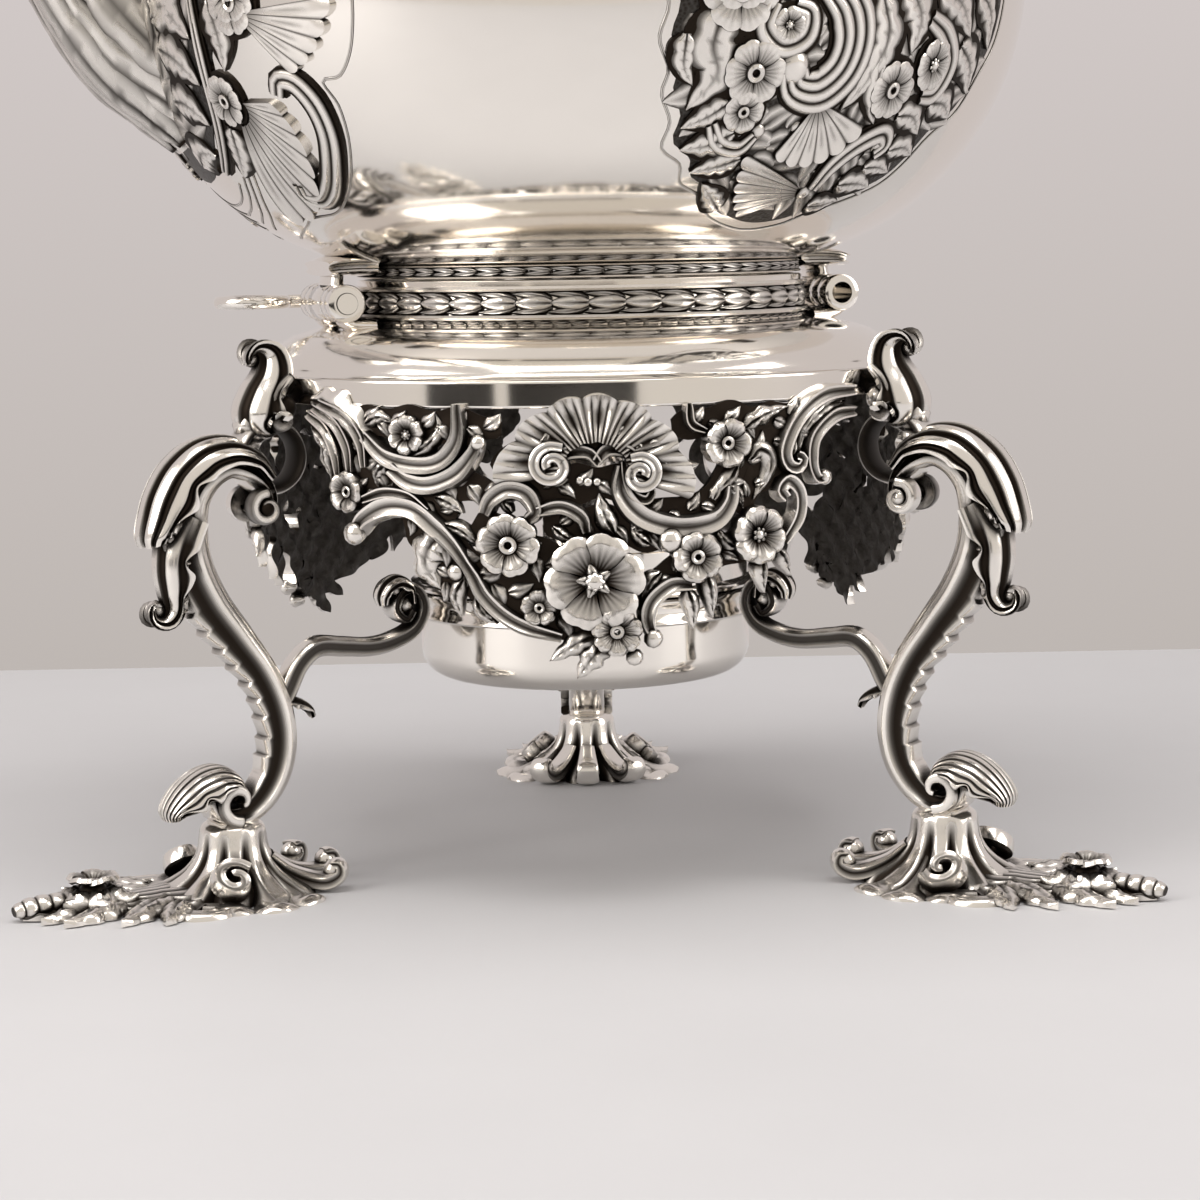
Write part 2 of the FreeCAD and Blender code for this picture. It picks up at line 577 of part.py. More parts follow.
def make_burner():
    """Spirit burner: can with a stop bead, cover, wick tube, wick, and a snuffer cap with its knob."""
    outer = d.burner_radius
    wall = d.burner_wall
    corner = d.burner_corner
    base = d.burner_base
    top = base + d.burner_height
    bead_low = holder_top + d.seat_gap
    node(revolve("burner_can", [
        line_to(0, base), line_to(outer - corner, base), arc_to(outer, base + corner, corner, True),
        line_to(outer, bead_low), line_to(outer + d.bead_proud, bead_low),
        line_to(outer + d.bead_proud, bead_low + d.bead_height), line_to(outer, bead_low + d.bead_height),
        line_to(outer, top), line_to(outer - wall, top), line_to(outer - wall, base + corner),
        arc_to(outer - corner, base + wall, corner - wall, False), line_to(0, base + wall)]),
        "burner_reservoir")
    hole = d.tube_radius + d.solder_gap
    cover_top = top + d.cover_rise
    node(revolve("cover", [
        line_to(hole, cover_top - d.cover_thick), line_to(outer + d.cover_lap, top),
        line_to(outer + d.cover_lap, top + d.cover_thick), line_to(hole, cover_top)]), "burner_cover")
    tube_low = cover_top - d.tube_depth
    tube_top = cover_top + d.tube_rise
    bore = d.tube_radius - d.tube_wall
    node(revolve("tube", [
        line_to(bore, tube_low), line_to(d.tube_radius, tube_low), line_to(d.tube_radius, tube_top),
        line_to(bore, tube_top)]), "wick_tube")
    wick_ends = (tube_low - d.wick_tail, tube_top + d.wick_show)
    node(cylinder_z("wick_cord", bore - d.wick_fit, wick_ends), "wick")
    cap_low = cover_top + d.seat_gap
    cap_top = cap_low + d.snuffer_height
    cap_radius = d.snuffer_bore + d.snuffer_wall
    inner_rise = d.snuffer_dome - d.snuffer_wall
    node(revolve("snuffer", [
        line_to(d.snuffer_bore, cap_low), line_to(cap_radius, cap_low),
        line_to(cap_radius, cap_top - d.snuffer_dome),
        arc_to(0, cap_top, dome_bend(d.snuffer_dome, cap_radius), True),
        line_to(0, cap_top - d.snuffer_wall),
        arc_to(d.snuffer_bore, cap_top - d.snuffer_dome, dome_bend(inner_rise, d.snuffer_bore), False)]),
        "snuffer_cap")
    knob = d.knob_radius
    seat = cap_top + d.solder_gap
    node(revolve("knob", [
        line_to(0, seat), line_to(knob * 0.4, seat), line_to(knob * 0.4, seat + d.knob_height - knob * 1.6),
        arc_to(knob, seat + d.knob_height - knob, knob * 0.8, True),
        arc_to(0, seat + d.knob_height, knob, True)]), "snuffer_knob")


def kettle_outline():
    """Outer edge of the kettle, from the middle of its base to the neck."""
    foot_top = kettle_base + d.kettle_foot_height
    return [
        line_to(0, kettle_base), line_to(kettle_foot_radius, kettle_base),
        line_to(kettle_foot_radius, foot_top),
        arc_to(d.neck_radius, neck_low, d.belly_bend, True)]


def make_kettle_core():
    """Solid that fills the kettle, to fit the pieces soldered to it."""
    core = revolve("kettle_core", kettle_outline() + [line_to(0, neck_low)])
    sleeve = cylinder_z("foot_leaf_sleeve", foot_band_radius + d.solder_gap,
                        (kettle_base, kettle_base + d.foot_leaf_height + d.solder_gap))
    return fuse("kettle_core", core, sleeve)


def spout_line(section):
    """Place of one spout section: how far out, its level and its tilt."""
    out, up, tilt, _ = SPOUT_SECTIONS[section]
    return -(belly_radius * out), belly_level + belly_radius * up, -tilt


def make_kettle_body():
    """Body raised in two halves, soldered at the widest line, with bands at the foot and mouth."""
    wall = d.kettle_wall
    inner_bend = d.belly_bend - wall
    inner_foot = kettle_foot_radius - wall
    inner_neck = d.neck_radius - wall
    inner_belly = belly_radius - wall
    foot_top = kettle_base + d.kettle_foot_height
    seam_low = belly_level - d.solder_gap / 2
    seam_high = belly_level + d.solder_gap / 2

    def inner_level(radius):
        across = radius - d.belly_offset
        return (inner_bend * inner_bend - across * across).root()

    bowl = revolve("kettle_bowl", [
        line_to(0, kettle_base), line_to(kettle_foot_radius, kettle_base),
        line_to(kettle_foot_radius, foot_top), arc_to(belly_radius, seam_low, d.belly_bend, True),
        line_to(inner_belly, seam_low),
        arc_to(inner_foot, belly_level - inner_level(inner_foot), inner_bend, False),
        line_to(inner_foot, kettle_base + wall), line_to(0, kettle_base + wall)])
    dome = revolve("kettle_dome", [
        line_to(belly_radius, seam_high),
        arc_to(d.neck_radius, neck_low, d.belly_bend, True),
        line_to(d.neck_radius, mouth_level), line_to(inner_neck, mouth_level),
        line_to(inner_neck, belly_level + inner_level(inner_neck)),
        arc_to(inner_belly, seam_high, inner_bend, False)])
    out, level, tilt = spout_line(0)
    for name, half in (("kettle_body", bowl), ("kettle_shoulder", dome)):
        port = cylinder(f"{name}_port", d.spout_port, d.belly_offset)
        place(port, out, 0, level, Y_AXIS, tilt)
        node(turn_to(cut(name, half, port), d.kettle_angle), name)
    node(bulged_band("foot_leaf", kettle_foot_radius + d.solder_gap, kettle_base,
                     d.kettle_foot_height, d.foot_leaf_edge, d.foot_leaf_proud), "kettle_foot_band")
    node(bulged_band("mouth", d.neck_radius + d.solder_gap, mouth_level - d.mouth_band_height,
                     d.mouth_band_height, d.foot_leaf_edge, d.mouth_band_proud), "kettle_mouth_band")


def make_spout(core):
    """Hollow swan-neck spout, lofted through round sections and fitted to the body."""
    def loft(name, trim):
        sections = []
        for count, (_, _, _, radius) in enumerate(SPOUT_SECTIONS):
            ring = doc.addObject("Part::Circle", f"{name}_{count}")
            bind(ring, "Radius", belly_radius * radius - trim)
            out, level, tilt = spout_line(count)
            place(ring, out, 0, level, Y_AXIS, tilt)
            sections.append(ring)
        tube = doc.addObject("Part::Loft", name)
        tube.Sections = sections
        tube.Solid = True
        return tube

    hollow = cut("spout", loft("spout_outside", size(0)), loft("spout_bore", d.spout_wall), core)
    node(turn_to(hollow, d.kettle_angle), "spout")


def make_hinge(name, side, stand_core, kettle_core):
    """Stand ears and kettle lug of one hinge; side is -1 at the spout, 1 opposite."""
    middle = hinge_radius * side
    half = d.hinge_length / 2
    lug_half = d.lug_length / 2
    slot_half = lug_half + d.knuckle_gap
    barrel = d.knuckle_radius

    def between(inner, outer):
        ends = (size(inner) * side, size(outer) * side)
        return ends if side > 0 else (ends[1], ends[0])

    outer_face = hinge_radius + barrel
    block = box(f"{name}_ear_block", between(d.collar_radius, outer_face), (-half, half),
                (hinge_level - d.ear_drop, hinge_level))
    roll = cylinder_y(f"{name}_ear_roll", barrel, middle, (-half, half), hinge_level)
    slot = box(f"{name}_slot", between(hinge_radius - barrel - d.knuckle_gap, outer_face + barrel),
               (-slot_half, slot_half), (hinge_level - barrel - d.knuckle_gap, hinge_level + barrel))
    bore = cylinder_y(f"{name}_ear_bore", d.pin_radius + d.pin_fit, middle,
                      (-d.hinge_length, d.hinge_length), hinge_level)
    ears = cut(f"{name}_ears", fuse(f"{name}_ears", block, roll), slot, bore, stand_core)
    node(turn_to(ears, d.kettle_angle), f"{name}_ears")

    shelf = box(f"{name}_lug_block", between(kettle_foot_radius, outer_face), (-half, half),
                (kettle_base, kettle_base + d.lug_height))
    web = box(f"{name}_lug_web", between(hinge_radius - barrel, outer_face), (-lug_half, lug_half),
              (hinge_level, kettle_base + d.lug_height / 2))
    eye = cylinder_y(f"{name}_lug_roll", barrel, middle, (-lug_half, lug_half), hinge_level)
    lug_bore = cylinder_y(f"{name}_lug_bore", d.pin_radius + d.pin_fit, middle,
                          (-d.hinge_length, d.hinge_length), hinge_level)
    lug = cut(f"{name}_lug", fuse(f"{name}_lug", shelf, web, eye), lug_bore, kettle_core)
    node(turn_to(lug, d.kettle_angle), f"{name}_lug")


def make_hinge_pin(name, side, reach, parking):
    """Loose hinge pin with a finger ring at its far end, drawn back by its parking distance."""
    half = d.hinge_length / 2
    middle = hinge_radius * side
    far = half + d.pin_overhang + parking
    shank = cylinder_y(f"{name}_shank", d.pin_radius, middle, (parking - half - d.pin_end, far), hinge_level)
    inner = hinge_radius * side
    ring_x = (hinge_radius + reach) * side
    stem_end = (hinge_radius + reach - d.finger_ring) * side
    ends = (inner, stem_end) if side > 0 else (stem_end, inner)
    stem = cylinder_x(f"{name}_stem", d.finger_wire, ends, far - d.pin_radius, hinge_level)
    ring = doc.addObject("Part::Torus", f"{name}_ring")
    bind(ring, "Radius1", d.finger_ring)
    bind(ring, "Radius2", d.finger_wire)
    place(ring, ring_x, far - d.pin_radius, hinge_level, Z_AXIS, QUARTER_ANGLE)
    node(turn_to(fuse(name, shank, stem, ring), d.kettle_angle), name)


def make_lid():
    """Domed lid with a bezel inside its edge, and a finial held by a stud and nut."""
    wall = d.kettle_wall
    crown = lid_level + d.lid_rise
    hole = d.stud_radius + d.pin_fit
    node(revolve("lid", [
        line_to(lid_radius - wall, lid_level), line_to(lid_radius, lid_level),
        line_to(lid_radius, lid_level + d.lid_lip),
        arc_to(d.finial_seat, crown, lid_bend, True), line_to(hole, crown),
        line_to(hole, crown - wall), line_to(d.finial_seat, crown - wall),
        arc_to(lid_radius - wall, lid_level + d.lid_lip, lid_bend - wall, False)]), "lid")
    bezel = d.neck_radius - d.kettle_wall - d.bezel_fit
    edge = lid_radius - wall - d.solder_gap
    node(revolve("bezel", [
        line_to(bezel - wall, mouth_level - d.bezel_depth), line_to(bezel, mouth_level - d.bezel_depth),
        line_to(bezel, lid_level), line_to(edge, lid_level), line_to(edge, lid_level + wall),
        line_to(bezel - wall, lid_level + wall)]), "lid_bezel")
    seat = crown + d.solder_gap
    stem_top = seat + d.finial_stem_height
    stud_low = crown - wall - d.nut_height - d.stud_spare
    node(revolve("finial", [
        line_to(0, stud_low), line_to(d.stud_radius, stud_low), line_to(d.stud_radius, seat),
        line_to(d.finial_seat * 0.8, seat),
        arc_to(d.finial_stem, stem_top, d.finial_stem_height, False),
        arc_to(d.finial_bud, stem_top + d.finial_bud_base, d.finial_bud * 0.94, True),
        arc_to(0, stem_top + d.finial_bud_base + d.finial_bud_rise,
               dome_bend(d.finial_bud_rise, d.finial_bud), True)]), "finial")
    nut = doc.addObject("Part::Prism", "nut_blank")
    nut.Polygon = 6
    bind(nut, "Circumradius", d.nut_radius)
    bind(nut, "Height", d.nut_height)
    place(nut, 0, 0, crown - wall - d.nut_height - d.solder_gap)
    node(cut("finial_nut", nut, cylinder_z("nut_hole", hole, (stud_low, crown))), "finial_nut")


def make_lid_hinge():
    """Small hinge at the back of the lid: leaf on the mouth band, knuckle on the lid, pin."""
    axis_y = lid_radius + d.lid_hinge_out
    axis_z = lid_level + d.lid_hinge_up
    half = d.lid_hinge_length / 2
    knuckle_half = d.lid_knuckle_length / 2
    slot_half = knuckle_half + d.knuckle_gap
    roll = d.lid_knuckle
    bore_radius = d.lid_pin + d.pin_fit
    band = cylinder_z("mouth_sleeve", mouth_band_radius + d.solder_gap,
                      (mouth_level - d.mouth_band_height * 2, lid_level + d.lid_lip))
    leaf = box("lid_leaf_block", (-half, half), (d.neck_radius, axis_y + roll * 0.5),
               (axis_z - roll - d.lid_leaf_drop, axis_z))
    barrel = cylinder_x("lid_leaf_roll", roll, (-half, half), axis_y, axis_z)
    slot = box("lid_leaf_slot", (-slot_half, slot_half), (d.neck_radius, axis_y + roll * 2),
               (axis_z - roll - d.knuckle_gap, axis_z + roll * 2))
    bore = cylinder_x("lid_leaf_bore", bore_radius, (-half, half), axis_y, axis_z)
    leaves = cut("lid_leaf", fuse("lid_leaf", leaf, barrel), slot, bore, band)
    node(turn_to(leaves, d.kettle_angle), "lid_hinge_leaf")

    edge = cylinder_z("lid_edge", lid_radius + d.solder_gap, (lid_level - roll, axis_z + roll))
    tab = box("lid_tab", (-knuckle_half, knuckle_half), (lid_radius - roll, axis_y),
              (lid_level + d.seat_gap, lid_level + d.lid_lip))
    eye = cylinder_x("lid_knuckle_roll", roll, (-knuckle_half, knuckle_half), axis_y, axis_z)
    eye_bore = cylinder_x("lid_knuckle_bore", bore_radius, (-half, half), axis_y, axis_z)
    knuckle = cut("lid_knuckle", fuse("lid_knuckle", tab, eye), eye_bore, edge)
    node(turn_to(knuckle, d.kettle_angle), "lid_knuckle")
    rod = cylinder_x("lid_pin_rod", d.lid_pin, (-half, half), axis_y, axis_z)
    head = cylinder_x("lid_pin_head", d.lid_pin_head, (half, half + d.lid_pin_head_thick), axis_y, axis_z)
    node(turn_to(fuse("lid_pin", rod, head), d.kettle_angle), "lid_hinge_pin")


def bail_piece(name, wire, start, sweep):
    """Length of the bail's hoop, as a bent round bar between two angles."""
    bar = doc.addObject("Part::Torus", name)
    bind(bar, "Radius1", d.bail_radius)
    bind(bar, "Radius2", wire)
    bar.Angle3 = sweep
    upright = FreeCAD.Rotation(X_AXIS, QUARTER_ANGLE)
    spun = FreeCAD.Rotation(Z_AXIS, start)
    bar.Placement = FreeCAD.Placement(FreeCAD.Vector(), upright.multiply(spun))
    bind(bar, "Placement.Base.z", bail_level)
    return bar


def make_bail(core):
    """Swinging bail: sockets on the shoulder, pivot pins, two arms, two insulators and the grip."""
    for name, side, spin in (("back", 1, 0), ("spout", -1, HALF_ANGLE)):
        socket_out = eye_place - d.eye_gap
        socket_in = socket_out - d.socket_thick
        post = box(f"{name}_post", (socket_in, socket_out), (-d.socket_eye, d.socket_eye),
                   (pivot_level - d.socket_depth, pivot_level))
        post_eye = cylinder_x(f"{name}_post_eye", d.socket_eye, (socket_in, socket_out), 0, pivot_level)
        pin_end = eye_place + d.eye_thick + d.eye_gap
        hole = cylinder_x(f"{name}_hole", d.pivot_pin + d.pin_fit, (size(0), pin_end), 0, pivot_level)
        socket = cut(f"{name}_socket", fuse(f"{name}_socket", post, post_eye), hole, core)
        node(turn_to(socket, d.kettle_angle + spin), f"handle_socket_{name}")

        shaft = cylinder_x(f"{name}_shaft", d.pivot_pin, (socket_in, pin_end), 0, pivot_level)
        head = cylinder_x(f"{name}_head", d.pivot_head, (pin_end, pin_end + d.pivot_head_thick), 0,
                          pivot_level)
        node(turn_to(fuse(f"{name}_pivot", shaft, head), d.kettle_angle + spin), f"handle_pivot_{name}")

        bar = bail_piece(f"{name}_bar", d.bail_wire, ARM_START_ANGLE, ARM_END_ANGLE - ARM_START_ANGLE)
        eye = cylinder_x(f"{name}_eye", d.eye_radius, (eye_place, eye_place + d.eye_thick), 0, pivot_level)
        eye_hole = cylinder_x(f"{name}_eye_hole", d.pivot_pin + d.pin_fit, (size(0), pin_end), 0,
                              pivot_level)
        arm = cut(f"{name}_arm", fuse(f"{name}_arm", bar, eye), eye_hole)
        node(turn_to(arm, d.kettle_angle + spin), f"handle_arm_{name}")
        length = INSULATOR_END_ANGLE - ARM_END_ANGLE
        disc = bail_piece(f"{name}_disc", d.insulator_wire, ARM_END_ANGLE, length)
        bead = bail_piece(f"{name}_bead", d.insulator_bead, ARM_END_ANGLE + length * 0.3, length * 0.4)
        insulator = fuse(f"{name}_insulator", disc, bead)
        node(turn_to(insulator, d.kettle_angle + spin), f"handle_insulator_{name}")
    swell = bail_piece("grip_swell", d.grip_swell, INSULATOR_END_ANGLE + GRIP_SWEEP_ANGLE * 0.3,
                       GRIP_SWEEP_ANGLE * 0.4)
    grip = fuse("grip", bail_piece("grip_bar", d.grip_wire, INSULATOR_END_ANGLE, GRIP_SWEEP_ANGLE), swell)
    node(turn_to(grip, d.kettle_angle), "handle_grip")


def check_and_export():
    """Recompute, refuse any failed object, and write one STEP file for each node.

    The files are moved so that the origin is the middle of the whole object's box, on the table.
    """
    doc.recompute()
    for thing in doc.Objects:
        if "Invalid" in thing.State or "Error" in thing.State:
            raise RuntimeError(f"{thing.Name} failed: {thing.State}")
    whole = FreeCAD.BoundBox()
    for thing in nodes:
        shape = thing.Shape
        if shape.isNull() or not shape.isValid() or len(shape.Solids) != 1:
            raise RuntimeError(f"{thing.Label} has no valid solid")
        whole.add(shape.optimalBoundingBox(True, False))
    axis = FreeCAD.Vector(-round(whole.Center.x, 1), -round(whole.Center.y, 1), 0)
    print(f"stand axis at {axis.x:.1f}, {axis.y:.1f}, height {whole.ZMax:.2f}")
    os.makedirs("parts", exist_ok=True)
    for thing in nodes:
        thing.Shape.translated(axis).exportStep(f"parts/{thing.Label}.step")
        print(f"{thing.Label}: {thing.Shape.Volume:.1f} mm3")


make_stand_ring()
stand_core = make_stand_core()
for number in range(3):
    make_apron(number)
    one_leg = make_leg(number)
    make_bracket(number, one_leg)
    make_foot(number)
    make_burner_arm(number, one_leg)
make_burner_holder()
make_burner()
make_kettle_body()
kettle_core = make_kettle_core()
make_spout(kettle_core)
make_hinge("pour_hinge", -1, stand_core, kettle_core)
make_hinge("lock_hinge", 1, stand_core, kettle_core)
make_hinge_pin("pour_pin", -1, d.pour_ring_reach, size(0))
make_hinge_pin("lock_pin", 1, d.lock_ring_reach, d.lock_parking)
make_lid()
make_lid_hinge()
make_bail(kettle_core)
check_and_export()
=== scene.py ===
"""Looks of a silver spirit kettle on its tripod lampstand, drawn in millimetres about the stand's axis."""

import math

import bmesh
import bpy
from bpy.props import FloatProperty, FloatVectorProperty, IntProperty, PointerProperty
from mathutils import Matrix, Vector


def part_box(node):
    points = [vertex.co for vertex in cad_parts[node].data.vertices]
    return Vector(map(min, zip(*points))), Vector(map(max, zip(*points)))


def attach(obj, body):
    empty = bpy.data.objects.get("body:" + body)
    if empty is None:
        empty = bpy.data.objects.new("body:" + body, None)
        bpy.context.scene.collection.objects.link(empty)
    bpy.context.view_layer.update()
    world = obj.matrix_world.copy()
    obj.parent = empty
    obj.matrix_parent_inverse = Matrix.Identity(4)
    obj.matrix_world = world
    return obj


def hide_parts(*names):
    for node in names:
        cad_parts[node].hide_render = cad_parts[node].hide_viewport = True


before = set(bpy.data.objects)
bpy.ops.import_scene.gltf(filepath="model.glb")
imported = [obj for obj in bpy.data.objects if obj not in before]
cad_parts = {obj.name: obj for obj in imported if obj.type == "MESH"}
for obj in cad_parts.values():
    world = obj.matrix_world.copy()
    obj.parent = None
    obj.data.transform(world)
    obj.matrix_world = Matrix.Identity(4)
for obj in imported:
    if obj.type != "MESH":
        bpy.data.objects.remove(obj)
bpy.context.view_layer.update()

bl_info = {
    "name": "Spirit kettle on a lampstand",
    "version": (1, 0, 0),
    "blender": (4, 5, 0),
    "location": "3D View > Sidebar > Kettle",
    "description": "Dresses the packed kettle, stand and burner with cast and chased silver",
    "category": "Object",
}

MM = 0.001
TARNISH_AND_SHADE = "tarnish"
FULL_TURN = 2 * math.pi
SEAM = 0.002
LINE_PARTS = 12
TURN_STEPS = 192
RING_LOW, RING_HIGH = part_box("stand_ring")
STAND_AXIS = Vector((round((RING_LOW.x + RING_HIGH.x) / 2, 4), round((RING_LOW.y + RING_HIGH.y) / 2, 4), 0))

KETTLE_TURN = math.radians(16)
SPOUT_TURN = KETTLE_TURN + math.pi
FRONT_TURN = math.radians(270)
LEG_TURNS = {"rear": math.radians(90), "left": math.radians(210), "right": math.radians(330)}
APRON_TURNS = {"front": 0.0, "right": FULL_TURN / 3, "left": -FULL_TURN / 3}
RIM_BOTTOM = 103.0
APRON_BACK = 72.2
BAND_RADIUS = 49.1
BELLY_CENTRE = 36.1
BELLY_LEVEL = 191.97
BELLY_BEND = 61.9
BELLY_RADIUS = BELLY_CENTRE + BELLY_BEND
FOOT_CENTRE = 87.05


def linear(code):
    """Linear colour of an sRGB hex code."""
    parts = [int(code[place:place + 2], 16) / 255 for place in (1, 3, 5)]
    return tuple(p / 12.92 if p <= 0.04045 else ((p + 0.055) / 1.055) ** 2.4 for p in parts)


class KettleLooks(bpy.types.PropertyGroup):
    """Sizes and colours of the looks."""

    silver: FloatVectorProperty(
        name="Silver", description="Colour of the polished silver", subtype="COLOR", size=3,
        default=linear("#F4F0EA"))
    oxide: FloatVectorProperty(
        name="Oxide", description="Colour of the dark tarnish left in hollows", subtype="COLOR", size=3,
        default=linear("#2A241F"))
    ivory: FloatVectorProperty(
        name="Insulator", description="Colour of the bail's insulating washers", subtype="COLOR", size=3,
        default=linear("#E6DBC0"))
    cotton: FloatVectorProperty(
        name="Wick", description="Colour of the cotton wick", subtype="COLOR", size=3,
        default=linear("#E9E2D0"))
    table: FloatVectorProperty(
        name="Table", description="Colour of the table top", subtype="COLOR", size=3,
        default=linear("#C6C6C9"))
    wall: FloatVectorProperty(
        name="Wall", description="Colour of the wall behind", subtype="COLOR", size=3,
        default=linear("#D0C8C6"))
    tarnish_reach: FloatProperty(
        name="Tarnish reach", description="How far hollows gather tarnish", subtype="DISTANCE",
        unit="LENGTH",
        default=0.0032, min=0.0005, max=0.02)
    laurel_leaves: IntProperty(
        name="Laurel leaves", description="Leaves round the collar's band", default=41, min=12, max=90)
    foot_leaves: IntProperty(
        name="Foot leaves", description="Leaves round the kettle's foot", default=56, min=12, max=120)
    lens: FloatProperty(
        name="Lens", description="Focal length of the camera in millimetres", default=85.7, min=20, max=300)


# Mesh kit


class Line:
    """A smooth line through given points, cut into equal steps; numbers after the first two ride along."""

    def __init__(self, points, steps):
        corners = [Vector(point) for point in points]
        ends = [2 * corners[0] - corners[1], *corners, 2 * corners[-1] - corners[-2]]
        fine = []
        for before, start, stop, after in zip(ends, ends[1:], ends[2:], ends[3:]):
            for part in range(LINE_PARTS):
                share = part / LINE_PARTS
                fine.append(0.5 * (
                    2 * start + (stop - before) * share
                    + (2 * before - 5 * start + 4 * stop - after) * share ** 2
                    + (3 * start - before - 3 * stop + after) * share ** 3))
        fine.append(corners[-1])
        reach = [0.0]
        for start, stop in zip(fine, fine[1:]):
            reach.append(reach[-1] + (stop - start).length)
        self.length = reach[-1]
        self.spots = []
        place = 0
        for step in range(steps + 1):
            goal = self.length * step / steps
            while place < len(fine) - 2 and reach[place + 1] < goal:
                place += 1
            run = reach[place + 1] - reach[place]
            self.spots.append(fine[place].lerp(fine[place + 1], (goal - reach[place]) / run if run else 0))
        self.ways = []
        for step in range(steps + 1):
            way = self.spots[min(step + 1, steps)] - self.spots[max(step - 1, 0)]
            self.ways.append(Vector((way[0], way[1])).normalized())

    def at(self, share):
        """Point and direction at a share of the length."""
        step = round(share * (len(self.spots) - 1))
        return self.spots[step], self.ways[step]


def down(*points):
    """Points given as right and down, as flat points with up positive."""
    return [(point[0], -point[1], *point[2:]) for point in points]


def volute(centre, radius, start_degrees, turns, points):
    """Points of a scroll that winds in from its rim; a negative number of turns winds clockwise."""
    spiral = []
    for step in range(points):
        share = step / (points - 1)
        reach = radius * (1 - 0.78 * share)
        angle = math.radians(start_degrees) + FULL_TURN * turns * share
        spiral.append((centre[0] + reach * math.cos(angle), centre[1] + reach * math.sin(angle)))
    return spiral


def arc(centre, radius, start_degrees, end_degrees, points):
    """Points of a circle's arc."""
    spread = [start_degrees + (end_degrees - start_degrees) * step / (points - 1) for step in range(points)]
    return [(centre[0] + radius * math.cos(math.radians(angle)),
             centre[1] + radius * math.sin(math.radians(angle))) for angle in spread]


def sheet(columns, rows, place):
    """A grid moved to place(first, second), both shares from 0 to 1; a fourth number is tarnish, and in
    places painted shade.
    """
    shape = bmesh.new()
    tarnish = shape.verts.layers.float.new(TARNISH_AND_SHADE)
    bmesh.ops.create_grid(shape, x_segments=columns, y_segments=rows, size=0.5)
    for vert in shape.verts:
        spot = place(vert.co.x + 0.5, vert.co.y + 0.5)
        vert.co = spot[:3]
        vert[tarnish] = spot[3] if len(spot) > 3 else 0.0
    return shape


def merged(shape):
    """Joins points of a mesh that lie together."""
    bmesh.ops.remove_doubles(shape, verts=shape.verts[:], dist=SEAM)


def faced(shape):
    """Turns all faces of a mesh outwards."""
    bmesh.ops.recalc_face_normals(shape, faces=shape.faces[:])
    return shape


def moved(shape, place):
    """Moves a mesh by a matrix."""
    bmesh.ops.transform(shape, matrix=place, verts=shape.verts[:])
    return shape


def closed(shape):
    """Joins a rolled sheet along its seam and closes its ends."""
    merged(shape)
    rim = [edge for edge in shape.edges if edge.is_boundary]
    if rim:
        bmesh.ops.holes_fill(shape, edges=rim, sides=0)
    return faced(shape)


def walled(shape, wall):
    """Gives an open sheet a thickness on its inner side."""
    shape.normal_update()
    inner = [(vert, vert.normal.copy()) for vert in shape.verts]
    bmesh.ops.extrude_face_region(shape, geom=shape.faces[:])
    for vert, normal in inner:
        vert.co -= normal * wall
    return faced(shape)


def cast(shape, back):
    """Gives an open relief a body down to a flat back."""
    made = bmesh.ops.extrude_face_region(shape, geom=shape.faces[:])
    for item in made["geom"]:
        if isinstance(item, bmesh.types.BMVert):
            item.co.z = back
        elif isinstance(item, bmesh.types.BMFace):
            item.material_index = 1
    merged(shape)
    return faced(shape)


def spun(profile, steps=TURN_STEPS):
    """A turned piece from its profile of radius and height; a profile off the axis ends where it starts."""
    shape = bmesh.new()
    ring = [shape.verts.new((radius, 0, height)) for radius, height in profile]
    edges = [shape.edges.new(pair) for pair in zip(ring, ring[1:])]
    bmesh.ops.spin(shape, geom=ring + edges, cent=(0, 0, 0), axis=(0, 0, 1), angle=FULL_TURN, steps=steps,
                   use_merge=True)
    merged(shape)
    return faced(shape)


def bead(spot, radius, squash=1.0, fineness=2):
    """A round grain of silver."""
    shape = bmesh.new()
    bmesh.ops.create_icosphere(shape, subdivisions=fineness, radius=radius)
    for vert in shape.verts:
        vert.co = Vector(spot) + Vector((vert.co.x, vert.co.y, vert.co.z * squash))
    return shape


def hoop(spot, radius, wire):
    """A ring of wire lying flat."""
    def place(first, second):
        angle = FULL_TURN * first
        roll = FULL_TURN * second
        reach = radius + wire * math.cos(roll)
        return Vector((spot[0] + reach * math.cos(angle), spot[1] + reach * math.sin(angle),
                       spot[2] + wire * math.sin(roll)))
    return closed(sheet(28, 8, place))


def grains(spot, reach, level, count, radius):
    """A ring of fine beads."""
    turns = [FULL_TURN * number / count for number in range(count)]
    return [bead((spot[0] + reach * math.cos(angle), spot[1] + reach * math.sin(angle), level), radius,
                 fineness=1)
            for angle in turns]


# Flat ornament: right, up and out of the ground


def ribbon(points, width, height, steps, across):
    """A band along a line; width and height are functions of the share along it and the side from -1 to 1."""
    line = Line(points, steps)

    def place(first, second):
        spot, way = line.at(first)
        side = 2 * second - 1
        left = Vector((-way.y, way.x))
        flat = Vector((spot[0], spot[1])) + left * (width(first) * side)
        return flat.x, flat.y, *height(first, side)
    return sheet(steps, across, place)


def outlined(side, ink):
    """Tarnish of a punched outline at a side from -1 to 1; with a large ink, the painted shadow at a dark
    plate's edge.
    """
    return ink * min(max(abs(side) - 0.66, 0) / 0.2, 1)


def shadow_disc(spot, radius, top, back):
    """A dark round disc, laid as a painted shadow round a chased flower."""
    def place(first, second):
        angle = FULL_TURN * first
        reach = radius * second
        return spot[0] + reach * math.cos(angle), spot[1] + reach * math.sin(angle), top, 1.0
    shape = sheet(28, 3, place)
    merged(shape)
    return cast(shape, back)


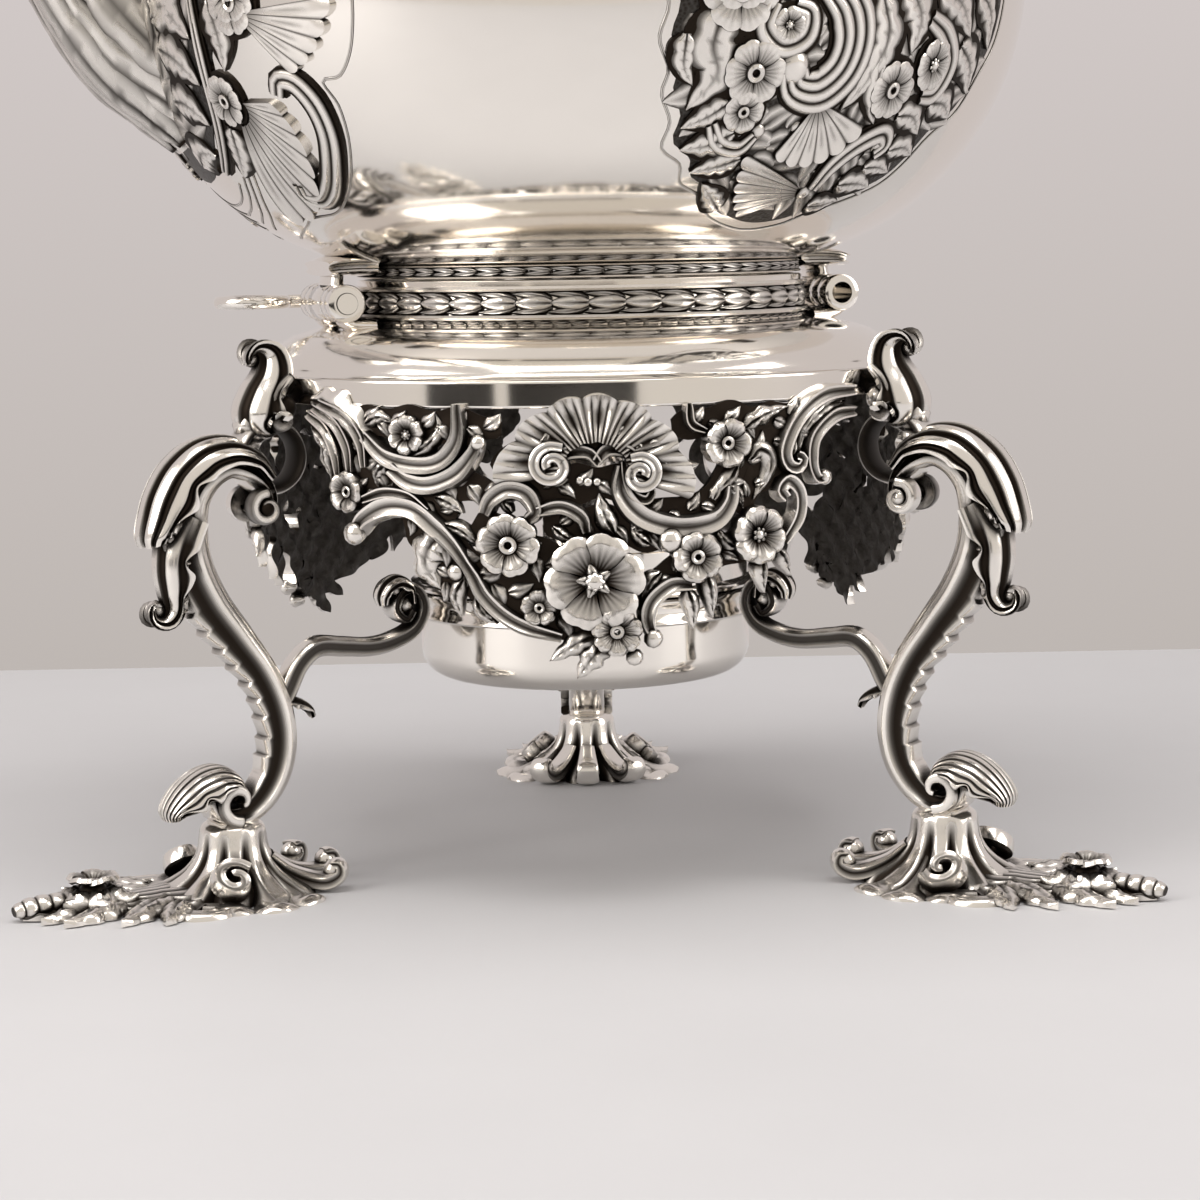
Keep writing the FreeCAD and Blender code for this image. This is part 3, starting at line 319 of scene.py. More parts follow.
def leaf(points, half_width, rise, base=0.0, lobes=0, back=0.0, steps=20, across=8, ink=0.0, veins=0):
    """A pointed leaf with a groove along its middle and lobed edges; ink darkens its outline."""
    veins = veins or max(lobes, 4)

    def width(along):
        outline = math.sin(math.pi * min(along ** 0.62, 1)) ** 0.8 if 0 < along < 1 else 0
        outline = max(outline, 0.42 * (1 - along) ** 2, 0.03)
        if lobes:
            outline *= 0.72 + 0.28 * abs(math.sin(math.pi * lobes * along))
        return half_width * outline

    def height(along, side):
        crown = (1 - abs(side) ** 2.4) * (0.45 + 0.55 * math.sin(math.pi * min(along + 0.18, 1)))
        groove = 0.42 * math.exp(-(side / 0.17) ** 2) * (1 - along)
        ribs = 0.16 * abs(math.cos(math.pi * veins * (along + 0.22 * abs(side)))) * (1 - side * side)
        stem = 0.95 * math.exp(-(side / 0.1) ** 2) * (1 - along)
        vein = 0.8 * max(ribs / 0.16 - 0.86, 0) / 0.14 * min(abs(side) / 0.3, 1)
        return base + rise * max(crown - groove - ribs, 0.02), max(stem, vein, outlined(side, ink))
    return cast(ribbon(points, width, height, steps, across), back)


def tapered(half_width, taper):
    """Width of a scroll along its length, from its start and end sizes."""
    start, end = taper

    def width(along):
        grown = start + (1 - start) * min(along / 0.25, 1)
        return half_width * grown * (1 if along < 0.7 else 1 - (1 - end) * (along - 0.7) / 0.3)
    return width


def strap(points, half_width, rise, base=0.0, back=0.0, taper=(0.7, 0.6), steps=36, across=8, ink=0.0,
          groove=1.0):
    """A scroll strap with two rounded ridges and a groove between them."""
    ridge = 0.6

    def height(along, side):
        if abs(side) > ridge:
            crown = 1 - ((abs(side) - ridge) / (1 - ridge)) ** 2
        else:
            crown = 1 - 0.5 * groove * (1 - (side / ridge) ** 2)
        darkening = 0.75 * groove * math.exp(-(side / 0.2) ** 2)
        return base + rise * crown, max(darkening, outlined(side, ink))
    return cast(ribbon(points, tapered(half_width, taper), height, steps, across), back)


def reeds(points, half_width, rise, base=0.0, back=0.0, taper=(0.7, 0.6), steps=40):
    """A flat scroll of fine strands with dark lines between them."""
    strand = 2.4
    count = max(2, round(2 * half_width / strand))

    def height(along, side):
        ridge = abs(math.sin(math.pi * count * (side + 1) / 2))
        return base + rise * (0.5 + 0.5 * ridge), 0.97 * min(max(0.6 - ridge, 0) / 0.3, 1)
    return cast(ribbon(points, tapered(half_width, taper), height, steps, 6 * count), back)


def sprigs(points, reach):
    """Small leaves to both sides of a stem."""
    pitch = 3.4
    stem = Line(points, 40)
    count = int(stem.length / pitch)
    made = []
    for number in range(1, count):
        spot, way = stem.at(number / count)
        side = 1 if number % 2 else -1
        lean = Vector((way.x - side * way.y, way.y + side * way.x)).normalized()
        start = Vector((spot[0], spot[1]))
        tip = start + lean * reach
        middle = start.lerp(tip, 0.5) + Vector((way.x, way.y)) * 0.12 * reach
        made.append(leaf([tuple(start), tuple(middle), tuple(tip)], 0.34 * reach, 1.1, base=0.4, back=-0.1,
                         steps=8, across=6))
    return made


def painted_shade_ground(points, half_width, rise=0.5, back=-0.1):
    """An uneven ground left between the motifs of a cast piece, painted dark all over as shade."""
    def width(along):
        bulge = 0.35 + 0.65 * math.sin(math.pi * along) ** 0.5
        return half_width * bulge * (0.86 + 0.14 * math.sin(19 * along))

    def height(along, side):
        # The ground is marked fully dark: painted shade.
        return rise * (0.7 + 0.3 * math.sin(31 * along) * math.cos(5 * side)), 1.0
    return cast(ribbon(points, width, height, 30, 8), back)


def flower(spot, radius, petals, rise, base=0.0, turn=0.0, heart="beads", back=0.0, wall=0.0, shade=0.85):
    """A flower of veined petals round a ring, a beaded boss or a star; with a wall its petals stand free."""
    made = []
    inner = 0.14 * radius
    for number in range(petals):
        middle = turn + FULL_TURN * number / petals

        def place(first, second):
            side = 2 * first - 1
            notch = 0.05 * math.exp(-(side / 0.2) ** 2)
            reach = radius * (1 - 0.17 * abs(side) ** 3 - notch)
            out = inner + (reach - inner) * second
            angle = middle + side * math.pi / petals * (0.8 + 0.3 * second)
            lift = 0.22 + 0.78 * math.sin(math.pi * 0.6 * second) - 0.3 * max(second - 0.85, 0) / 0.15
            vein = abs(math.cos(2.5 * math.pi * side))
            fold = 0.2 * (1 - abs(side)) * second + 0.1 * side * second
            # Painted shade darkens the petals towards the heart; the veins and the edges gather tarnish.
            darkening = shade * max(1 - second / 0.75, 0) ** 0.9
            darkening += 0.45 * max(vein - 0.75, 0) / 0.25 * (1 - second)
            darkening += 0.5 * max(abs(side) - 0.85, 0) / 0.15 * (1 - 0.6 * second)
            return (spot[0] + out * math.cos(angle), spot[1] + out * math.sin(angle),
                    base + rise * (lift + fold - 0.12 * vein * second * (1.15 - second)), darkening)
        petal = sheet(10, 8, place)
        made.append(walled(petal, -wall) if wall else cast(petal, back))
    top = base + 0.45 * rise
    if heart == "ring":
        made.append(hoop((spot[0], spot[1], top), 0.2 * radius, 0.1 * radius))
    elif heart == "star":
        for number in range(5):
            angle = turn + FULL_TURN * (number + 0.5) / 5
            tip = (spot[0] + 0.42 * radius * math.cos(angle), spot[1] + 0.42 * radius * math.sin(angle))
            made.append(leaf([(spot[0], spot[1]), tip], 0.13 * radius, 0.4 * rise, base=top, back=base,
                             steps=8))
        made.append(bead((spot[0], spot[1], top + 0.2 * rise), 0.2 * radius, 0.7))
        made += grains(spot, 0.14 * radius, top + 0.42 * rise, 8, 0.055 * radius)
    else:
        made.append(bead((spot[0], spot[1], top), 0.2 * radius, 0.8))
        made += grains(spot, 0.2 * radius, top + 0.12 * rise, 7, 0.075 * radius)
    return made


def fan(hub, reach, start_degrees, end_degrees, ribs, rise, inner=0.3, base=0.0, back=0.0, hollow=0.55,
        fine=1):
    """A ribbed shell round a hub; reach gives its radius along the sweep and fine the lines in each rib."""
    columns = ribs * max(14, 6 * fine)

    def place(first, second):
        angle = math.radians(start_degrees + (end_degrees - start_degrees) * first)
        rib = abs(math.sin(math.pi * ribs * first))
        line = abs(math.sin(math.pi * ribs * fine * first)) if fine > 1 else 1.0
        edge = reach(first) * (0.92 + 0.08 * rib ** 0.6)
        out = edge * (inner + (1 - inner) * second)
        dish = hollow * rib ** 0.8 * math.sin(math.pi * second) ** 0.7
        lip = 0.35 * max(second - 0.78, 0) / 0.22 * rib
        height = base + rise * (0.75 + 0.25 * (1 - second) - dish + lip
                                - 0.12 * (1 - rib) * second - 0.14 * (1 - line))
        darkening = 0.95 * rib ** 10 * math.exp(-((second - 0.5) / 0.2) ** 4) * min(hollow / 0.5, 1)
        darkening += 0.9 * max(0.35 - rib, 0) / 0.35 * (1 - 0.3 * second) + 0.5 * max(0.3 - second, 0) / 0.3
        darkening = max(darkening, 0.75 * max(0.5 - line, 0) / 0.5 * min(2 * (1 - second), 1))
        return hub[0] + out * math.cos(angle), hub[1] + out * math.sin(angle), height, darkening
    return cast(sheet(columns, 12, place), back)


def wrapped(shapes, mapper):
    """Lays flat ornament on the surface that mapper gives."""
    for shape in shapes:
        for vert in shape.verts:
            vert.co = mapper(vert.co)
    return shapes


def on_cylinder(radius, level, middle):
    """Mapper to a cylinder about the stand's axis."""
    def mapper(flat):
        angle = middle + flat.x / radius
        reach = radius + flat.z
        return Vector((reach * math.cos(angle), reach * math.sin(angle), level + flat.y))
    return mapper


def on_belly(middle):
    """Mapper to the kettle's belly; right is measured at its widest and up along its curve."""
    def mapper(flat):
        angle = middle + flat.x / BELLY_RADIUS
        climb = flat.y / BELLY_BEND
        bend = BELLY_BEND + flat.z
        reach = BELLY_CENTRE + bend * math.cos(climb)
        return Vector((reach * math.cos(angle), reach * math.sin(angle),
                       BELLY_LEVEL + bend * math.sin(climb)))
    return mapper


# Forms in a leg's upright plane: out from the axis, along the rim, up


def rounded(along, angle):
    """Section of a plain round bar: depth, width and tarnish."""
    return math.cos(angle), math.sin(angle), 0.0


def channelled(along, angle):
    """Section of a cast bar with a sunk, dark channel down each side."""
    depth = math.copysign(abs(math.cos(angle)) ** 0.8, math.cos(angle))
    width = math.copysign(abs(math.sin(angle)) ** 0.7, math.sin(angle))
    sunk = math.exp(-(depth / 0.42) ** 4)
    return depth, width * (1 - 0.26 * sunk), 0.85 * sunk


def bar(points, section=rounded, steps=60, around=16, wall=0.0):
    """A bar along points of out, up, thickness and width; with a wall it is an open pipe."""
    line = Line(points, steps)

    def place(first, second):
        spot, way = line.at(first)
        depth, width, darkening = section(first, FULL_TURN * second)
        lift = depth * spot[2] / 2
        return spot[0] - way.y * lift, width * spot[3] / 2, spot[1] + way.x * lift, darkening
    shape = sheet(steps, around, place)
    if not wall:
        return closed(shape)
    merged(shape)
    faced(shape)
    return walled(shape, wall)


def frond(points, flute, ridges, lobes, wrap_degrees=95, wall=0.9, steps=36, across=30, cut=0.25, plain=0.0,
          stain=0.97):
    """A fluted leaf bent along points of out, up, half width and fall, its sides wrapped round a core."""
    line = Line(points, steps)
    wrap = math.radians(wrap_degrees)

    def place(first, second):
        spot, way = line.at(first)
        side = 2 * second - 1
        scallop = (0.5 + 0.5 * math.cos(FULL_TURN * lobes * first)) * min(max((first - plain) / 0.2, 0), 1)
        angle = side * wrap * (1 - cut * scallop * side ** 4)
        ridge = abs(math.cos(math.pi * ridges * side / 2))
        step = min(max((ridge - 0.3) / 0.35, 0), 1)
        swell = flute * (0.8 * step * step * (3 - 2 * step) + 0.2 * ridge)
        fall = spot[3] * (1 - math.cos(angle)) / (1 - math.cos(wrap))
        rise = swell * math.cos(angle) - fall
        reach = (spot[2] + swell) * math.sin(angle)
        darkening = stain * min(max(0.74 - ridge, 0) / 0.2, 1.0) * min((1 - abs(side)) / 0.07, 1)
        darkening *= min(min(first, 1 - first) / 0.2, 1)
        return spot[0] - way.y * rise, reach, spot[1] + way.x * rise, darkening
    return walled(sheet(steps, across, place), wall)


def sideways(shape, gap, side):
    """Stands flat ornament up on a side face of an upright piece, gap from its middle."""
    for vert in shape.verts:
        vert.co = Vector((vert.co.x, side * (gap + vert.co.z), vert.co.y))
    return faced(shape)


def on_turned(points, radius, steps=60):
    """Mapper to a turned surface; right is measured at a radius and up along its profile from the start."""
    line = Line(points, steps)

    def mapper(flat):
        spot, way = line.at(min(max(flat.y / line.length, 0), 1))
        reach = spot[0] + way.y * flat.z
        angle = flat.x / radius
        return Vector((reach * math.cos(angle), reach * math.sin(angle), spot[1] - way.x * flat.z))
    return mapper


def on_pipe(points, radius, steps=90):
    """Mapper to a bent pipe of out, up and radius; right is measured round it and up along it."""
    line = Line(points, steps)

    def mapper(flat):
        spot, way = line.at(min(max(flat.y / line.length, 0), 1))
        angle = flat.x / radius
        reach = spot[2] + flat.z
        lift = reach * math.cos(angle)
        return Vector((spot[0] - way.y * lift, reach * math.sin(angle), spot[1] + way.x * lift))
    return mapper


# Pieces


def joined(shapes):
    """One mesh from several, which are used up."""
    whole = bmesh.new()
    whole.verts.layers.float.new(TARNISH_AND_SHADE)
    for shape in shapes:
        carrier = bpy.data.meshes.new("carrier")
        shape.to_mesh(carrier)
        shape.free()
        whole.from_mesh(carrier)
        bpy.data.meshes.remove(carrier)
    return whole


def piece(name, whole, body, nodes, finish, turn=0.0, slot="silver", crease_degrees=38, back_finish=None):
    """Makes one piece that stands for CAD nodes and rides on a body; a cast back may have its own finish."""
    shape = whole.copy()
    place = Matrix.Translation(STAND_AXIS) @ Matrix.Rotation(turn, 4, "Z") @ Matrix.Scale(MM, 4)
    moved(shape, place)
    mesh = bpy.data.meshes.new(name)
    shape.to_mesh(mesh)
    shape.free()
    mesh.shade_smooth()
    mesh.set_sharp_from_angle(angle=math.radians(crease_degrees))
    mesh.materials.append(finish)
    mesh.materials.append(back_finish or finish)
    made = bpy.data.objects.new(name, mesh)
    bpy.context.scene.collection.objects.link(made)
    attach(made, body)
    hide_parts(*nodes)


def single(name, shapes, body, nodes, finish, turn=0.0, **more):
    """One piece from shapes, which are used up."""
    whole = joined(shapes)
    piece(name, whole, body, nodes, finish, turn, **more)
    whole.free()


def like_pieces(name, node, shapes, turns, finish, **more):
    """Like pieces of the stand from the same shapes, one at each turn."""
    whole = joined(shapes)
    for side, turn in turns.items():
        piece(f"{name}_{side}", whole, "stand", [f"{node}_{side}"], finish, turn, **more)
    whole.free()


def refinish(finish, *nodes):
    """Gives CAD nodes that stay a finish."""
    for name in nodes:
        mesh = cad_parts[name].data
        mesh.materials.clear()
        mesh.materials.append(finish)


# Finishes

# Sockets of a colour mix: its two colours and its result.
MIX_LOW = 6
MIX_HIGH = 7
MIX_RESULT = 2
HOLLOW_SAMPLES = 6


def add(tree, kind, values=None, links=None, **settings):
    """Adds a node with its settings, socket values and links."""
    made = tree.nodes.new(kind)
    for key, value in settings.items():
        setattr(made, key, value)
    for key, value in (values or {}).items():
        made.inputs[key].default_value = value
    for key, (source, output) in (links or {}).items():
        tree.links.new(source.outputs[output], made.inputs[key])
    return made


def maths(tree, operation, *terms, **settings):
    """A sum on terms, each a number or a node and its output."""
    values = {key: term for key, term in enumerate(terms) if not isinstance(term, tuple)}
    links = {key: term for key, term in enumerate(terms) if isinstance(term, tuple)}
    return add(tree, "ShaderNodeMath", values, links, operation=operation, **settings)


def noise(tree, size, detail, roughness=0.5):
    """Noise over the object with features about size millimetres across."""
    spots = add(tree, "ShaderNodeTexCoord")
    return add(tree, "ShaderNodeTexNoise", {"Scale": 1 / (size * MM), "Detail": detail,
                                            "Roughness": roughness},
               {"Vector": (spots, "Object")})


def mixed(tree, low, high, factor):
    """A colour between two, each a colour or a node and its output, by a factor."""
    values = {}
    links = {0: factor}
    for key, colour in ((MIX_LOW, low), (MIX_HIGH, high)):
        if len(colour) == 2:
            links[key] = colour
        else:
            values[key] = (*colour, 1)
    return add(tree, "ShaderNodeMix", values, links, data_type="RGBA")


def darker(colour, share):
    """A share of a colour."""
    return [share * part for part in colour]


def dented(tree, strength, depth, height, under=None):
    """Fine relief, depth in millimetres, over another one or alone."""
    links = {"Height": height}
    if under:
        links["Normal"] = (under, "Normal")
    return add(tree, "ShaderNodeBump", {"Strength": strength, "Distance": depth * MM}, links)


def new_finish(name):
    """A material and its empty node tree, or no tree where the material is there already."""
    material = bpy.data.materials.get(name)
    if material:
        return material, None
    material = bpy.data.materials.new(name)
    material.use_nodes = True
    material.node_tree.nodes.clear()
    return material, material.node_tree


def surface(tree, colour, relief, rough=None, **values):
    """Ends a finish with its shader; rough is a node and its output."""
    links = {"Base Color": (colour, MIX_RESULT), "Normal": (relief, "Normal")}
    if rough:
        links["Roughness"] = rough
    shader = add(tree, "ShaderNodeBsdfPrincipled", values, links)
    add(tree, "ShaderNodeOutputMaterial", {}, {"Surface": (shader, "BSDF")})


def oxidised_silver(looks):
    """Cast and chased sterling silver: bright on what a cloth reaches, brown-black where tarnish stays."""
    material, tree = new_finish("Silver_cast_and_oxidised")
    if tree is None:
        return material
    # A polishing cloth leaves hairlines about 0.5 mm apart and cloudy patches about 12 mm across.
    hairs = noise(tree, 0.5, 2.0, 0.6)
    clouds = noise(tree, 12, 3.0, 0.55)
    hollow = add(tree, "ShaderNodeAmbientOcclusion", {"Distance": looks.tarnish_reach}, only_local=True,
                 samples=HOLLOW_SAMPLES)
    ragged = maths(tree, "MULTIPLY", (clouds, "Fac"), 0.12)
    depth = maths(tree, "SUBTRACT", (hollow, "AO"), (ragged, "Value"))
    clean = add(tree, "ShaderNodeMapRange", {"From Min": 0.54, "From Max": 0.98},
                {"Value": (depth, "Value")}, interpolation_type="SMOOTHSTEP")
    # Creases and the veins marked on the mesh gather tarnish too; the marked hearts, plates, grounds, hoop
    # insides and ties are painted shade.
    form = add(tree, "ShaderNodeNewGeometry")
    crease = add(tree, "ShaderNodeMapRange", {"From Min": 0.42, "From Max": 0.492},
                 {"Value": (form, "Pointiness")})
    marked = add(tree, "ShaderNodeAttribute", attribute_name=TARNISH_AND_SHADE)
    wiped = maths(tree, "SUBTRACT", 1.0, (marked, "Fac"), use_clamp=True)
    unmarked = maths(tree, "POWER", (wiped, "Value"), 1.8)
    open_part = maths(tree, "MULTIPLY", (clean, "Result"), (crease, "Result"))
    bright = maths(tree, "MULTIPLY", (open_part, "Value"), (unmarked, "Value"))
    colour = mixed(tree, looks.oxide, looks.silver, (bright, "Value"))
    dull = add(tree, "ShaderNodeMapRange", {"To Min": 0.5, "To Max": 0.12}, {"Value": (bright, "Value")})
    haze = maths(tree, "MULTIPLY", (clouds, "Fac"), 0.1)
    rough = maths(tree, "ADD", (dull, "Result"), (haze, "Value"))
    surface(tree, colour, dented(tree, 0.06, 0.05, (hairs, "Fac")), (rough, "Value"), Metallic=1.0)
    return material


def polished_silver(looks):
    """Raised and turned sterling silver: a mirror with a faint hand-planished wave and cloth hairlines."""
    material, tree = new_finish("Silver_polished")
    if tree is None:
        return material
    # Planishing leaves soft facets about 16 mm across; hairlines are drawn 0.8 mm apart so that they show.
    facets = noise(tree, 16, 1.0)
    hairs = noise(tree, 0.8, 3.0, 0.65)
    clouds = noise(tree, 30, 4.0)
    hollow = add(tree, "ShaderNodeAmbientOcclusion", {"Distance": looks.tarnish_reach}, only_local=True,
                 samples=HOLLOW_SAMPLES)
    clean = add(tree, "ShaderNodeMapRange", {"From Min": 0.15, "From Max": 0.5}, {"Value": (hollow, "AO")},
                interpolation_type="SMOOTHSTEP")
    colour = mixed(tree, looks.oxide, looks.silver, (clean, "Result"))
    rough = add(tree, "ShaderNodeMapRange", {"To Min": 0.05, "To Max": 0.16}, {"Value": (clouds, "Fac")})
    wave = dented(tree, 0.12, 0.4, (facets, "Fac"))
    surface(tree, colour, dented(tree, 0.03, 0.05, (hairs, "Fac"), wave), (rough, "Result"), Metallic=1.0)
    return material


def unpolished_back(looks):
    """Back of cast work: rough from the sand mould and never polished, so nearly black."""
    material, tree = new_finish("Silver_unpolished_back")
    if tree is None:
        return material
    # The mould leaves lumps about 2.4 mm across, with finer grains in them.
    pits = noise(tree, 2.4, 5.0)
    colour = mixed(tree, looks.oxide, darker(looks.silver, 0.14), (pits, "Fac"))
    surface(tree, colour, dented(tree, 0.9, 0.8, (pits, "Fac")), Metallic=1.0, Roughness=0.5)
    return material


def matted_ground(looks):
    """Ground of chased work: struck all over with a matting punch and left dark."""
    material, tree = new_finish("Silver_matted_ground")
    if tree is None:
        return material
    spots = add(tree, "ShaderNodeTexCoord")
    # Punch marks lie about 0.7 mm apart.
    punch = add(tree, "ShaderNodeTexVoronoi", {"Scale": 1 / (0.7 * MM)}, {"Vector": (spots, "Object")})
    colour = mixed(tree, looks.oxide, darker(looks.silver, 0.09), (punch, "Distance"))
    surface(tree, colour, dented(tree, 0.6, 0.2, (punch, "Distance")), Metallic=1.0, Roughness=0.45)
    return material


def ivory_coloured(looks):
    """Pressed casein or bone-like washers: cream, fine-grained and softly polished."""
    material, tree = new_finish("Insulator_cream")
    if tree is None:
        return material
    spots = add(tree, "ShaderNodeTexCoord")
    # Growth lines about 0.6 mm apart.
    lines = add(tree, "ShaderNodeTexWave", {"Scale": 1 / (2.4 * MM), "Distortion": 3.0, "Detail": 2.0},
                {"Vector": (spots, "Object")})
    colour = mixed(tree, darker(looks.ivory, 0.72), looks.ivory, (lines, "Fac"))
    surface(tree, colour, dented(tree, 0.05, 0.05, (lines, "Fac")), Roughness=0.32, IOR=1.54)
    return material


def braided_cotton(looks):
    """Braided cotton wick: matt, off-white, its plaits showing as slanting dimples."""
    material, tree = new_finish("Cotton_braided")
    if tree is None:
        return material
    spots = add(tree, "ShaderNodeTexCoord")
    slant = add(tree, "ShaderNodeMapping", {"Rotation": (0.6, 0.4, 0.0)}, {"Vector": (spots, "Object")})
    # Plaits are about 1.2 mm wide.
    plaits = add(tree, "ShaderNodeTexVoronoi", {"Scale": 1 / (1.2 * MM)}, {"Vector": (slant, "Vector")})
    # The colour darkens between the plaits: painted shade.
    colour = mixed(tree, looks.cotton, darker(looks.cotton, 0.5), (plaits, "Distance"))
    surface(tree, colour, dented(tree, 0.8, 0.3, (plaits, "Distance")), Roughness=0.9)
    return material


def painted_table(looks):
    """Painted table top: pale satin paint, faintly uneven from the roller, with worn patches."""
    material, tree = new_finish("Table_paint")
    if tree is None:
        return material
    # Roller marks are about 3 mm across and worn patches about 60 mm.
    marks = noise(tree, 3, 3.0)
    worn = noise(tree, 60, 5.0)
    colour = mixed(tree, darker(looks.table, 0.93), looks.table, (worn, "Fac"))
    surface(tree, colour, dented(tree, 0.1, 0.2, (marks, "Fac")), Roughness=0.55, IOR=1.5)
    return material


# Operators


class StandRing(bpy.types.Operator):
    """Raised ring of the stand: collar, cushion shoulder and plain rim, with a laurel band on the collar"""

    bl_idname = "kettle.stand_ring"
    bl_label = "Stand ring"

    OUTSIDE = (
        (47.8, 128.0), (48.7, 128.0), (49.0, 127.7), (49.0, 119.4), (49.6, 118.7), (51.0, 118.4),
        (55.0, 118.1), (60.0, 117.1), (63.9, 115.9), (66.4, 114.2), (68.6, 112.1), (70.0, 109.9),
        (70.6, 108.7), (71.0, 108.5), (71.7, 108.5), (71.9, 108.4), (72.0, 108.2), (72.0, 107.9),
        (72.0, 103.6), (72.0, 103.3), (71.9, 103.1), (71.7, 103.0))
    INSIDE = (
        (70.7, 103.0), (70.6, 103.3), (70.6, 107.0), (69.2, 108.2), (67.2, 111.0), (65.0, 113.0),
        (62.8, 114.5), (59.4, 115.7), (54.6, 116.6), (49.6, 116.9), (47.6, 118.0), (47.6, 127.8),
        (47.8, 128.0))
    FILLET = ((49.0, 0.0), (50.2, 0.1), (50.55, 0.55), (50.2, 1.0), (49.0, 1.1), (49.0, 0.0))
    FILLET_LEVELS = (119.8, 125.65)
    BAND_LEVEL = 123.3
    # Lean, half width and base of the leaves in each bunch.
    BUNCH = ((-1.9, 1.2, 0.1), (1.9, 1.2, 0.1), (0.0, 1.75, 0.45))
    TWIG_LEVEL = -4.15

    def execute(self, context):
        looks = context.scene.kettle_looks
        single("stand_ring_raised", [spun(self.OUTSIDE + self.INSIDE)], "stand", ["stand_ring"],
               polished_silver(looks), crease_degrees=50)
        fillets = [spun([(radius, low + rise) for radius,
                         rise in self.FILLET]) for low in self.FILLET_LEVELS]
        leaves = []
        pitch = FULL_TURN * BAND_RADIUS / looks.laurel_leaves
        for number in range(looks.laurel_leaves):
            start = number * pitch
            for lean, half, base in self.BUNCH:
                points = [(start, 0.35 * lean), (start - 0.5 * pitch, 0.9 * lean),
                          (start - 1.12 * pitch, lean)]
                leaves.append(leaf(points, half, 0.85, base=base, steps=10, across=6, back=-0.1, ink=0.9))
        # A twig line of small leaves runs under the band.
        for number in range(2 * looks.laurel_leaves):
            start = number * pitch / 2
            points = [(start, self.TWIG_LEVEL), (start - 0.5 * pitch, self.TWIG_LEVEL)]
            leaves.append(leaf(points, 0.42, 0.5, base=0.1, steps=4, across=4, back=-0.1))
        wrapped(leaves, on_cylinder(BAND_RADIUS, self.BAND_LEVEL, 0.0))
        single("laurel_band", fillets + leaves, "stand", ["stand_laurel_band"], oxidised_silver(looks))
        return {"FINISHED"}


